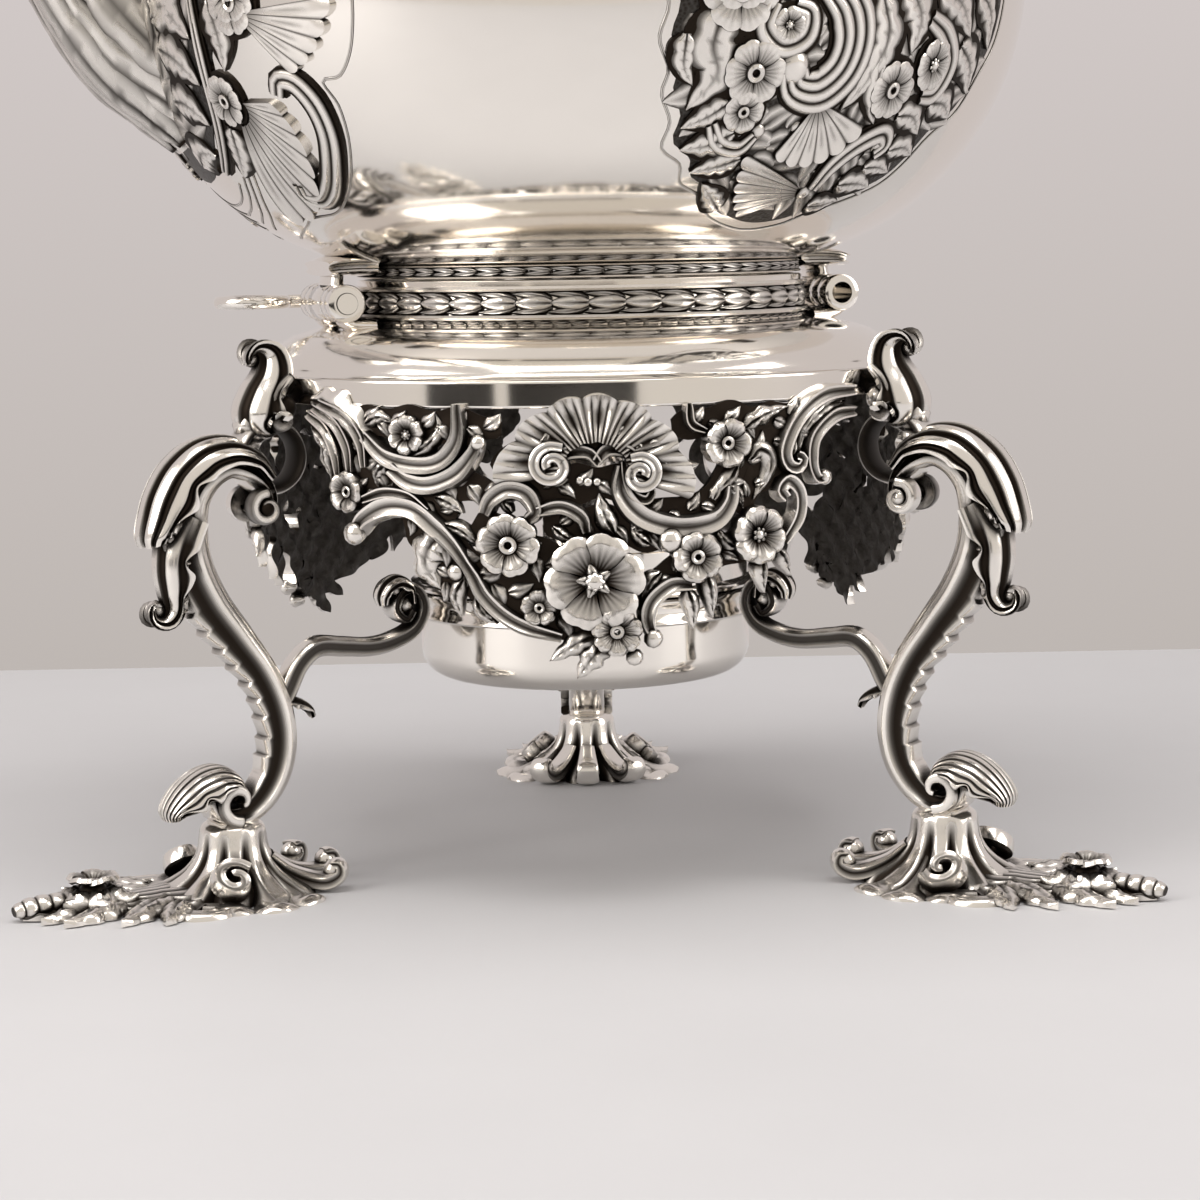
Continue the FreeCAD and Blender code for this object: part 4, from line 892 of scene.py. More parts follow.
class Aprons(bpy.types.Operator):
    """Three cast and pierced aprons of flowers, shell and scrolls under the rim"""

    bl_idname = "kettle.aprons"
    bl_label = "Aprons"

    # Tables of the ornament give points right and down from the rim's middle; here also the half width.
    STRAPS = (
        (((-46.4, 5.6), (-41.0, 9.9), (-33.4, 11.3), (-28.1, 10.1), (-24.9, 5.7), (-24.8, -1.0)), 2.2),
        (((-40.0, 12.0), (-36.0, 14.6), (-31.0, 15.2), (-25.4, 13.0), (-21.8, 9.0), (-20.6, 6.4)), 2.3),
        (((-49.4, 25.2), (-47.0, 22.4), (-41.4, 19.9), (-35.2, 20.2), (-30.3, 23.6), (-26.6, 27.0),
          (-23.6, 31.0)), 2.4),
        (((-47.0, 18.6), (-41.5, 17.0), (-36.0, 17.6), (-31.5, 20.4)), 1.4),
        (((-63.0, 1.6), (-57.6, 4.4), (-54.6, 9.0), (-53.4, 14.4)), 1.6),
        (((-61.0, 0.2), (-54.6, 3.2), (-51.0, 8.0), (-50.2, 13.2)), 1.5),
        (((-59.0, -0.8), (-51.6, 2.0), (-47.4, 6.6), (-46.4, 12.0)), 1.5),
        (((-24.0, 30.4), (-22.1, 33.4), (-20.0, 37.3), (-16.0, 41.2), (-11.2, 43.8), (-4.7, 45.6)), 1.9),
        (((-19.6, 20.8), (-18.2, 18.0), (-15.0, 16.0), (-11.2, 16.8), (-9.4, 20.3), (-10.8, 22.0)), 2.2),
        (((-9.0, 20.3), (-4.2, 19.5), (-0.4, 21.6), (0.6, 24.6)), 1.7),
        (((21.4, 35.7), (17.2, 35.7), (13.4, 38.6), (12.3, 42.3), (13.3, 45.6)), 2.0),
        (((63.0, -1.4), (53.2, -0.8), (46.3, 3.4), (42.7, 9.4), (43.4, 12.8), (46.0, 13.6), (47.2, 11.8),
          (45.6, 11.0)), 1.9),
        (((63.0, 3.0), (56.2, 3.6), (50.6, 7.5), (49.6, 12.6), (51.0, 16.0), (53.2, 16.2)), 1.8),
        (((42.8, 19.6), (41.4, 17.8), (43.6, 16.2), (46.2, 18.9), (45.8, 23.6), (42.0, 28.4)), 1.8),
        (((-3.4, 13.2), (-5.0, 14.2), (-6.6, 12.6), (-5.6, 10.2), (-2.4, 8.6), (1.2, 8.8), (3.2, 11.0)),
         1.7),
        (((2.6, 10.6), (5.0, 8.2), (9.0, 8.8), (10.6, 11.4)), 1.6),
        (((12.4, 15.4), (13.4, 16.8), (12.2, 18.4), (9.6, 17.0), (8.4, 13.4), (8.0, 10.6)), 1.2),
        (((8.0, 11.6), (7.6, 16.8), (11.6, 21.8), (19.0, 24.2), (26.4, 23.2), (29.6, 19.8), (30.2, 16.4)),
         2.6),
        (((21.1, -0.5), (21.6, 3.4), (24.5, 5.1)), 1.1),
    )
    # Points, half width and number of lobes.
    LEAVES = (
        (((-62.0, -1.2), (-56.0, 0.2), (-50.0, 3.6), (-45.6, 8.0), (-40.4, 11.4)), 4.6, 5),
        (((-62.0, 4.0), (-57.0, 7.6), (-53.6, 11.6), (-51.8, 16.6)), 3.6, 4),
        (((-57.0, 6.4), (-58.2, 10.4), (-56.6, 15.0)), 2.2, 3),
        (((-46.2, 3.2), (-42.6, 1.8), (-39.4, 3.0)), 1.8, 3),
        (((-41.1, 11.2), (-43.6, 13.4), (-43.4, 16.6)), 2.1, 3),
        (((-36.6, 9.8), (-32.0, 7.6), (-29.0, 4.4), (-29.6, 1.0)), 2.0, 4),
        (((-30.0, 17.6), (-27.2, 18.6), (-24.2, 20.8)), 1.9, 0),
        (((-28.0, 23.0), (-24.6, 24.2), (-20.6, 27.4)), 1.7, 0),
        (((-28.6, 25.0), (-31.6, 28.0), (-32.4, 31.6), (-29.4, 36.2)), 4.4, 4),
        (((-24.2, 34.0), (-26.0, 37.4), (-25.0, 41.6)), 2.0, 0),
        (((-21.6, 37.4), (-20.6, 40.4), (-17.6, 43.0)), 1.8, 0),
        (((3.0, 45.0), (-1.6, 46.8), (-7.2, 50.4)), 2.7, 3),
        (((4.0, 46.6), (1.4, 49.6), (-1.8, 54.0)), 3.0, 3),
        (((6.0, 24.8), (4.2, 21.4), (3.1, 16.8)), 2.4, 0),
        (((33.0, 5.0), (37.4, 2.6), (44.0, 1.0)), 2.1, 3),
        (((34.4, 11.4), (36.8, 9.4), (39.2, 11.2), (38.6, 14.6), (35.2, 19.4)), 2.3, 0),
        (((31.6, 12.0), (29.4, 15.2), (25.4, 18.6)), 1.9, 0),
        (((29.4, 16.4), (31.8, 18.2), (33.0, 21.2)), 1.6, 0),
        (((37.0, 31.4), (37.0, 34.6), (37.8, 38.6)), 1.9, 0),
        (((40.4, 29.6), (42.4, 32.0), (44.4, 35.6)), 1.8, 0),
        (((24.4, 33.6), (25.4, 37.6), (26.0, 42.8)), 2.0, 0),
        (((20.4, 36.6), (21.6, 40.4), (21.8, 44.8)), 1.9, 0),
        (((15.0, 33.0), (12.6, 35.4), (11.2, 39.6)), 1.9, 0),
        (((60.0, 0.6), (54.4, 1.4), (48.6, 5.6), (46.4, 11.4)), 2.6, 5),
        (((-14.0, 20.6), (-15.6, 18.4), (-13.0, 17.8)), 1.3, 0),
        (((-6.0, 23.4), (-3.4, 25.6), (-0.4, 26.2)), 1.5, 0),
        (((13.0, 27.4), (10.6, 25.6), (9.4, 22.8)), 1.6, 0),
        (((31.0, 29.0), (28.4, 27.2), (26.8, 24.2)), 1.7, 0),
    )
    # Middle, radius, petals, rise, base and heart.
    FLOWERS = (
        ((-51.4, 17.2), 4.4, 5, 2.0, 0.7, "ring"),
        ((-36.0, 5.2), 4.1, 6, 1.9, 0.6, "beads"),
        ((-14.8, 27.0), 6.4, 6, 2.2, 0.9, "ring"),
        ((2.0, 34.3), 9.9, 6, 2.6, 1.2, "star"),
        ((-8.9, 39.6), 3.7, 5, 1.6, 0.8, "ring"),
        ((6.1, 44.5), 5.0, 7, 2.2, 1.5, "ring"),
        ((29.1, 7.7), 5.0, 5, 2.2, 0.9, "ring"),
        ((35.8, 26.5), 6.0, 6, 2.3, 1.0, "beads"),
        ((22.4, 30.2), 5.2, 5, 2.2, 1.1, "ring"),
    )
    # Points and half width of the ground behind the ornament, painted dark as shade.
    GROUNDS = (
        (((-62.0, 2.0), (-54.0, 7.0), (-46.0, 12.0), (-36.0, 14.0), (-24.0, 15.0), (-16.0, 18.0)), 5.0),
        (((-58.0, 10.0), (-52.0, 15.0), (-44.0, 17.0), (-34.0, 18.0), (-26.0, 22.0)), 3.6),
        (((-34.0, 22.0), (-28.0, 27.0), (-22.0, 33.0), (-12.0, 38.0), (-2.0, 42.0), (8.0, 42.0)), 5.4),
        (((-22.0, 22.0), (-14.0, 27.0), (-6.0, 32.0), (4.0, 36.0), (12.0, 34.0)), 5.0),
        (((-18.0, 12.0), (-10.0, 8.0), (2.0, 5.0), (14.0, 8.0), (22.0, 14.0)), 4.0),
        (((10.0, 40.0), (16.0, 34.0), (24.0, 31.0), (34.0, 28.0), (42.0, 26.0)), 4.0),
        (((10.0, 21.0), (20.0, 21.0), (28.0, 18.0), (33.0, 12.0), (40.0, 8.0), (48.0, 6.0), (60.0, 1.0)),
         4.2),
        (((32.0, 22.0), (36.0, 16.0), (42.0, 12.0), (48.0, 10.0)), 3.4),
        (((-50.0, 2.0), (-36.0, 3.4), (-24.0, 3.6), (-16.0, 4.0)), 4.4),
        (((18.0, 4.0), (28.0, 3.4), (38.0, 4.0), (48.0, 2.0)), 4.4),
        (((-12.0, 16.0), (-2.0, 15.0), (8.0, 15.0), (14.0, 17.0)), 4.2),
        (((-8.0, 23.0), (2.0, 23.0), (12.0, 25.0), (20.0, 27.0)), 4.4),
        (((-40.0, 16.0), (-34.0, 24.0), (-30.0, 32.0), (-26.0, 38.0)), 4.0),
    )
    # Middle, radius, start in degrees and turns.
    VOLUTES = (((-5.9, 11.2), 4.2, 60, 1.4), ((11.2, 13.2), 3.8, 120, -1.4))
    SHELL_HUB = (2.5, 11.8)
    SHELL_REACH = 14.6
    SHELL_FLARE = 6.6
    SHELL_SPREAD = (190, -20)
    SHELL_RIBS = 7
    BACK = -0.1
    RELIEF = 1.9
    RIM_LAP = -2.0
    LUMP = 0.7
    LUMP_SIZE = 1.3
    # Middle and radius.
    BUDS = (((-20.6, 6.6), 1.7), ((-49.6, 25.6), 2.5), ((-25.8, 32.6), 1.8), ((17.1, 26.7), 2.6),
            ((13.4, 46.2), 2.0), ((9.6, 49.8), 1.8), ((-0.6, 14.2), 0.9), ((1.0, 14.6), 1.0),
            ((2.8, 14.6), 0.9), ((53.6, 16.0), 1.7))

    def execute(self, context):
        looks = context.scene.kettle_looks
        shapes = [painted_shade_ground(down(*points), half) for points, half in self.GROUNDS]
        for points, half in self.GROUNDS:
            shapes += sprigs(down(*points), half)
        shapes += [strap(down(*points), half, self.RELIEF, back=self.BACK, base=0.5) for points,
                   half in self.STRAPS]
        shapes += [leaf(down(*points), half, self.RELIEF, base=0.3, lobes=lobes, back=self.BACK)
                   for points, half, lobes in self.LEAVES]
        for number, (spot, radius, petals, rise, base, heart) in enumerate(self.FLOWERS):
            shapes += flower(down(spot)[0], radius, petals, rise, base=base, turn=0.4 * number, heart=heart,
                             back=self.BACK)
        for spot, radius in self.BUDS:
            right, up = down(spot)[0]
            shapes.append(bead((right, up, 0.4 * radius + 0.5), radius, 0.8))

        def shell_reach(share):
            return self.SHELL_REACH + self.SHELL_FLARE * abs(2 * share - 1) ** 2.2
        shapes.append(fan(down(self.SHELL_HUB)[0], shell_reach, *self.SHELL_SPREAD, self.SHELL_RIBS, 2.6,
                          inner=0.36, base=0.3, back=self.BACK, fine=4))
        for centre, radius, start, turns in self.VOLUTES:
            shapes.append(strap(volute(down(centre)[0], radius, start, turns, 15), 1.35, 2.0, base=1.0,
                                back=self.BACK, taper=(0.8, 0.8), steps=48, groove=0.4))
        # The back is left lumpy below the rim.
        for vert in [vert for shape in shapes for vert in shape.verts]:
            if vert.co.z < 0 and vert.co.y < self.RIM_LAP:
                lump = math.sin(vert.co.x / self.LUMP_SIZE) * math.cos(vert.co.y / self.LUMP_SIZE)
                vert.co.z -= self.LUMP * (1 + lump)
        wrapped(shapes, on_cylinder(APRON_BACK, RIM_BOTTOM, FRONT_TURN))
        like_pieces("pierced_apron", "apron", shapes, APRON_TURNS, oxidised_silver(looks),
                    back_finish=unpolished_back(looks))
        return {"FINISHED"}


class Legs(bpy.types.Operator):
    """Three cast legs with leafy knees and scrolled ankles"""

    bl_idname = "kettle.legs"
    bl_label = "Legs"

    # Spines give out, up, thickness and width; leaves give out, up, half width and fall.
    SPINE = ((80.6, 81.4, 1.6, 11.0), (78.9, 80.6, 2.2, 11.4), (77.4, 82.4, 2.8, 11.6),
             (78.2, 85.8, 3.4, 11.8), (81.6, 89.2, 4.6, 11.8), (86.4, 91.0, 6.4, 11.6),
             (91.6, 89.2, 8.6, 11.2), (95.4, 84.6, 10.2, 10.8), (96.4, 77.8, 10.6, 10.2),
             (95.0, 70.0, 9.8, 9.8), (91.2, 62.0, 9.2, 9.4), (85.6, 54.2, 8.6, 9.2), (80.4, 46.8, 8.0, 9.0),
             (77.2, 39.4, 7.6, 9.0), (76.2, 32.0, 7.5, 9.0), (77.6, 25.2, 7.2, 9.0), (81.2, 19.8, 6.4, 9.2),
             (86.0, 16.8, 5.2, 9.6), (90.6, 17.6, 4.2, 10.0), (92.4, 21.0, 3.4, 10.4),
             (90.4, 24.0, 3.0, 10.6), (87.4, 23.8, 2.6, 10.8), (86.2, 21.6, 2.2, 11.0),
             (87.6, 20.2, 1.8, 11.0))
    KNEE = ((76.8, 88.4, 5.6, 1.6), (80.0, 93.0, 6.8, 3.0), (86.0, 96.0, 7.2, 4.8), (93.0, 95.4, 7.4, 6.2),
            (98.8, 91.4, 7.4, 7.2), (102.4, 86.0, 7.2, 7.4), (104.2, 80.6, 6.8, 6.6),
            (104.8, 77.0, 6.0, 4.4), (104.2, 75.0, 4.8, 2.2))
    CALF = ((98.0, 82.0, 6.2, 5.6), (101.0, 76.0, 6.2, 6.2), (101.8, 70.0, 6.0, 6.0),
            (101.0, 65.0, 5.2, 4.8), (100.2, 61.8, 4.2, 3.2), (101.2, 59.8, 3.4, 2.0),
            (103.2, 60.0, 2.8, 1.2), (103.6, 61.8, 1.8, 0.6), (102.2, 62.4, 0.5, 0.2))
    ANKLE = ((84.6, 22.0, 5.2, 1.6), (86.4, 25.6, 6.4, 3.4), (90.4, 27.6, 7.2, 5.6), (95.0, 27.0, 7.4, 6.8),
             (99.0, 24.4, 7.2, 6.4), (101.6, 21.2, 6.4, 4.4), (102.4, 18.8, 5.4, 2.4),
             (101.8, 17.2, 4.4, 1.4))
    CALF_TIP = (102.4, 0.0, 61.5)
    SNAIL = (79.5, 81.6)
    KNEE_CHEEK = 5.2
    ANKLE_CHEEK = 5.0
    ANKLE_CURL = (87.6, 20.4)
    TEETH = 9
    TEETH_FROM = 0.42
    TEETH_TO = 0.76

    def shaft(self, along, angle):
        """Section of the leg: bright band inside, dark channel down each side, toothed leaf edge outside."""
        depth = math.copysign(abs(math.cos(angle)) ** 0.8, math.cos(angle))
        width = math.copysign(abs(math.sin(angle)) ** 0.6, math.sin(angle))
        sunk = math.exp(-((depth - 0.3) / 0.4) ** 4)
        if depth > 0.3 and self.TEETH_FROM < along < self.TEETH_TO:
            tooth = ((along - self.TEETH_FROM) / (self.TEETH_TO - self.TEETH_FROM) * self.TEETH) % 1
            depth *= 1 + 0.26 * (0.8 - tooth) * min((depth - 0.3) / 0.4, 1)
        return depth, width * (1 - 0.3 * sunk), 0.95 * sunk

    def execute(self, context):
        looks = context.scene.kettle_looks
        shapes = [
            bar(self.SPINE, self.shaft, steps=170, around=44),
            frond(self.KNEE, 1.2, 6, 3.5, 100, wall=1.1, steps=64, across=72, plain=0.45),
            frond(self.CALF, 0.9, 4, 3.0, 95, wall=1.0, steps=50, across=56, plain=0.15),
            frond(self.ANKLE, 0.4, 13, 3.5, 95, steps=44, across=120, plain=0.4, stain=0.42),
            bead(self.CALF_TIP, 2.2),
        ]
        for side in (-1, 1):
            snail = volute(self.SNAIL, 3.4, 100, -1.25, 13)
            shapes.append(sideways(strap(snail, 1.15, 1.5, base=0.4, back=-1.5, taper=(1, 0.7), steps=44,
                                         groove=0), self.KNEE_CHEEK, side))
            shapes.append(sideways(bead((*self.SNAIL, 0.9), 1.7), self.KNEE_CHEEK, side))
            curl = volute(self.ANKLE_CURL, 4.4, -100, 0.95, 11)
            shapes.append(sideways(strap(curl, 1.25, 1.2, base=0.4, back=-1.5, taper=(1, 0.5), steps=48,
                                         groove=0), self.ANKLE_CHEEK, side))
        like_pieces("cast_leg", "leg", shapes, LEG_TURNS, oxidised_silver(looks))
        return {"FINISHED"}


class Brackets(bpy.types.Operator):
    """Three hoops with cap leaves that tie the legs to the rim"""

    bl_idname = "kettle.brackets"
    bl_label = "Knee brackets"

    CAP = ((80.0, 111.6, 0.6, 0.2), (80.2, 113.2, 2.0, 0.8), (78.8, 114.4, 3.4, 1.8),
           (77.2, 113.0, 4.6, 4.0), (78.2, 109.8, 6.2, 6.6), (80.8, 106.2, 7.4, 7.6),
           (82.6, 102.4, 7.8, 8.2), (82.4, 99.2, 7.4, 7.6), (80.6, 97.0, 6.4, 5.4), (77.8, 96.2, 5.0, 3.0),
           (75.8, 97.0, 3.6, 1.6))
    CAP_TIP = (79.4, 0.0, 112.6)
    CAP_BULB = (79.4, 0.0, 98.8)
    CHEEK = 5.2
    SIDE_BUD = (74.8, 102.4, 0.6)
    SIDE_CURL = ((73.0, 109.0), (75.4, 106.4), (77.0, 102.4), (76.2, 98.8), (74.0, 99.0), (74.2, 101.0))
    TIE = ((72.2, 107.4, 4.0, 11.0), (74.6, 106.0, 5.2, 9.6), (77.6, 103.6, 5.2, 8.6),
           (79.4, 100.6, 4.6, 8.0))
    # Centre, radius, start and end in degrees, and number of points.
    HOOP = ((76.65, 92.0), 6.9, 420, 60, 25)
    HOOP_WIRE = (2.8, 8.8)

    def ringed(self, along, angle):
        """Section of the hoop, painted dark on its inner side as shade."""
        depth, width = rounded(along, angle)[:2]
        return depth, width, 0.9 * min(max(0.5 - depth, 0) / 0.4, 1)

    def execute(self, context):
        looks = context.scene.kettle_looks
        ring = [(*spot, *self.HOOP_WIRE) for spot in arc(*self.HOOP)]
        shapes = [
            bar(ring, self.ringed, steps=64, around=18),
            frond(self.CAP, 1.0, 4, 2.5, 95, steps=56, across=56, plain=0.2),
            bead(self.CAP_TIP, 1.9),
            bead(self.CAP_BULB, 4.4),
            # The tie under the rim is marked dark all over: painted shade.
            bar(self.TIE, lambda along, angle: (*rounded(along, angle)[:2], 0.9), steps=20, around=16),
        ]
        for side in (-1, 1):
            curl = strap(self.SIDE_CURL, 1.5, 1.6, back=-1.2, groove=0)
            shapes.append(sideways(curl, self.CHEEK, side))
            shapes.append(sideways(bead(self.SIDE_BUD, 2.7), self.CHEEK, side))
        like_pieces("leaf_bracket", "knee_bracket", shapes, LEG_TURNS, oxidised_silver(looks))
        return {"FINISHED"}


class Feet(bpy.types.Operator):
    """Three cast feet: fluted sockets among scrolls and lobes, with a flower and a finger on each toe"""

    bl_idname = "kettle.feet"
    bl_label = "Feet"

    NECK = ((3.6, 16.0), (5.4, 15.6), (6.8, 14.4), (7.2, 12.4), (7.6, 10.0), (8.6, 7.6), (10.8, 5.2),
            (13.8, 3.2), (16.6, 1.6), (17.6, 0.1))
    NECK_FLUTES = 10
    # Turn in degrees, reach and half width.
    DISCS = ((118, 22.5, 4.8), (92, 23.4, 5.0), (66, 22.6, 4.6), (-118, 22.5, 4.8), (-92, 23.4, 5.0),
             (-66, 22.6, 4.6))
    DISC_REACHES = (9.0, 13.0, 18.0)
    CURLED = ((95.0, 7.4, 2.4, 4.0), (99.0, 4.4, 3.0, 5.4), (103.4, 2.6, 3.6, 6.4), (107.2, 2.3, 3.8, 6.8),
              (109.8, 3.8, 3.2, 6.2), (109.6, 5.8, 2.4, 5.4), (107.8, 6.0, 1.8, 4.6))
    CURLED_TURNS = (180, 149, -149)
    CURL_HEART = (108.3, 0.0, 4.5)
    SCROLL = ((97.4, 5.4), (101.6, 8.6), (105.4, 13.4), (103.4, 18.4), (98.2, 18.8), (96.4, 15.2),
              (99.4, 13.0))
    FINGER = ((122.0, 2.8, 4.0, 6.4), (128.0, 2.9, 4.4, 5.6), (132.6, 2.6, 4.2, 5.0), (135.6, 2.2, 2.4, 3.0))
    FINGER_RINGS = 5
    TOE = ((98.0, 0.0), (108.0, 0.0), (118.0, 0.0), (128.0, 0.0), (134.0, 0.0))
    LOOP_SPOT = (92.6, 13.0, 4.9)
    BLOSSOM = (118.4, 0.0)
    PETALS = 6
    PETAL_REACHES = (1.6, 5.4, 9.4)
    CALYX = 3.2
    CALYX_LEVEL = 3.7
    LOOP_LEAN = math.radians(40)
    LEAVES = (
        (((104.0, 6.0), (111.0, 11.0), (119.0, 17.4)), 4.2, 2.4, 4),
        (((103.0, 10.0), (107.0, 16.0), (111.0, 21.4)), 3.6, 2.2, 4),
        (((113.0, 4.0), (121.0, 8.4), (129.0, 11.4)), 3.6, 2.4, 4),
        (((121.0, 2.0), (127.0, 5.0), (132.0, 6.4)), 2.6, 2.0, 3),
    )

    def finger(self, along, angle):
        """Section of the ribbed finger, dark between its rings."""
        ring = abs(math.sin(math.pi * self.FINGER_RINGS * along))
        size = 0.8 + 0.2 * ring ** 0.5
        return size * math.cos(angle), size * math.sin(angle), 0.9 * max(0.45 - ring, 0) / 0.45

    def execute(self, context):
        looks = context.scene.kettle_looks
        outline = Line(self.NECK, 30)

        def socket(first, second):
            spot = outline.at(second)[0]
            angle = FULL_TURN * first
            ridge = abs(math.cos(self.NECK_FLUTES / 2 * angle + 0.5 * second))
            deep = min(max(second - 0.16, 0) * 3, 1)
            reach = spot[0] * (1 - 0.2 * deep * (1 - min(ridge / 0.8, 1)))
            return (FOOT_CENTRE + reach * math.cos(angle), reach * math.sin(angle), spot[1],
                    0.97 * deep * min(max(0.66 - ridge, 0) / 0.25, 1))
        shapes = [closed(sheet(140, 30, socket))]
        for degrees, reach, half in self.DISCS:
            way = Vector((math.cos(math.radians(degrees)), math.sin(math.radians(degrees))))
            points = [tuple(Vector((FOOT_CENTRE, 0)) + way * out) for out in (*self.DISC_REACHES, reach)]

            def width(along):
                swell = 0.3 + 0.7 * min(along / 0.7, 1) ** 2
                tip = 1 if along < 0.78 else math.sqrt(max(1 - ((along - 0.78) / 0.225) ** 2, 0.01))
                return half * swell * tip

            def height(along, side):
                slope = 6.4 * (1 - along) ** 2 + 0.5
                dome = 1.1 * math.exp(-((along - 0.86) / 0.14) ** 2)
                darkening = 0.9 * max(0.75 - along, 0) / 0.75 * math.exp(-(side / 0.45) ** 2)
                return max((slope + dome) * (1 - 0.85 * side * side), 0.12), darkening
            shapes.append(cast(ribbon(points, width, height, 22, 12), 0.0))
        for degrees in self.CURLED_TURNS:
            for lobe in (bar(self.CURLED, channelled, steps=40, around=20), bead(self.CURL_HEART, 2.4)):
                bmesh.ops.rotate(lobe, verts=lobe.verts[:], cent=(FOOT_CENTRE, 0, 0),
                                 matrix=Matrix.Rotation(math.radians(degrees), 3, "Z"))
                shapes.append(lobe)

        def toe_width(along):
            return (13.5 * (1 - along) ** 0.8 + 1.2) * (0.8 + 0.2 * abs(math.sin(math.pi * 6 * along)))

        def toe_height(along, side):
            crown = 2.4 * (1 - 0.4 * along) * (1 - side * side)
            ribs = abs(math.cos(math.pi * 4.5 * side))
            crinkle = 0.5 * math.sin(43 * along) * side ** 4
            return max(crown + 1.1 - 0.6 * ribs + crinkle, 0.6), 0.9 * max(ribs - 0.5, 0) / 0.5
        shapes.append(cast(ribbon(self.TOE, toe_width, toe_height, 60, 28), 0.35))
        shapes.append(bar(self.FINGER, self.finger, steps=40, around=18))
        for side in (-1, 1):
            for points, half, rise, lobes in self.LEAVES:
                shapes.append(leaf([(out, side * along) for out, along in points], half, rise, base=1.2,
                                   lobes=lobes, back=0.3))
            shapes.append(strap([(out, side * along) for out, along in self.SCROLL], 2.7, 1.3, base=0.2,
                                back=0.0, taper=(0.6, 0.8), steps=44, across=14, groove=0.4))
            loop = strap(volute((0.0, 0.0), 4.4, -150, 1.2, 15), 1.6, 2.0, base=0.4, back=-0.8,
                         taper=(1, 0.8), steps=48, across=12, groove=0.5)
            spot = Vector(self.LOOP_SPOT) * Vector((1, side, 1))
            lean = Matrix.Translation(spot) @ Matrix.Rotation(-side * self.LOOP_LEAN, 4, "X")
            shapes.append(moved(loop, lean))
        middle = Vector(self.BLOSSOM)
        for number in range(self.PETALS):
            way = Matrix.Rotation(FULL_TURN * (number + 0.5) / self.PETALS, 2) @ Vector((1, 0))
            points = [tuple(middle + way * reach) for reach in self.PETAL_REACHES]
            shapes.append(leaf(points, 3.6, 3.0, base=2.8, back=1.0, steps=24, across=10))
        shapes.append(bead((*self.BLOSSOM, self.CALYX_LEVEL), self.CALYX))
        shapes += flower(self.BLOSSOM, 5.6, 5, 3.0, base=4.8, turn=0.5, wall=0.7)
        like_pieces("cast_foot", "foot", shapes, LEG_TURNS, oxidised_silver(looks))
        return {"FINISHED"}


class BurnerArms(bpy.types.Operator):
    """Three scrolled arms from the legs and the ring that they carry"""

    bl_idname = "kettle.burner_arms"
    bl_label = "Burner arms and holder"

    SPINE = ((76.6, 38.0, 4.6, 6.4), (74.2, 42.0, 4.8, 6.4), (71.0, 47.6, 4.6, 6.2), (66.6, 50.8, 4.6, 6.0),
             (60.6, 50.4, 4.4, 6.0), (54.2, 49.8, 4.2, 6.0), (48.6, 50.6, 4.0, 6.0), (43.6, 53.0, 3.6, 6.2),
             (41.4, 57.4, 3.2, 6.6), (43.2, 61.4, 2.8, 7.0), (46.8, 61.2, 2.6, 7.2), (48.4, 57.6, 2.4, 7.4),
             (46.0, 55.2, 2.0, 7.4), (44.4, 57.0, 1.8, 7.4))
    ROOT_LEAF = ((67.4, 36.0, 0.6, 0.2), (68.2, 37.8, 1.8, 0.9), (70.4, 39.6, 2.8, 1.9),
                 (75.0, 41.4, 3.2, 2.4))
    SCROLL_LEAF = ((43.4, 58.6, 2.4, 0.8), (44.0, 62.6, 3.4, 2.0), (47.2, 64.4, 3.8, 2.6),
                   (50.2, 63.2, 3.6, 2.6), (51.6, 60.6, 2.8, 1.8), (51.0, 58.4, 1.6, 0.8))
    SCROLL_HEART = (46.0, 0.0, 58.4)
    HOLDER = ((37.2, 54.2), (37.5, 54.0), (38.8, 54.0), (39.15, 54.4), (39.0, 55.2), (38.6, 55.8),
              (38.6, 57.8), (39.0, 58.4), (39.15, 59.2), (38.8, 59.6), (37.5, 59.6), (37.2, 59.4),
              (37.2, 54.2))

    def execute(self, context):
        looks = context.scene.kettle_looks
        shapes = [
            bar(self.SPINE, channelled, steps=90, around=18),
            frond(self.ROOT_LEAF, 0.4, 2, 1.5, 90, steps=20, across=20),
            frond(self.SCROLL_LEAF, 0.6, 4, 1.5, 95, steps=30, across=40),
            bead(self.SCROLL_HEART, 2.9),
        ]
        like_pieces("scrolled_arm", "burner_arm", shapes, LEG_TURNS, oxidised_silver(looks))
        single("burner_holder_ring", [spun(self.HOLDER)], "stand", ["burner_holder"], polished_silver(looks))
        return {"FINISHED"}


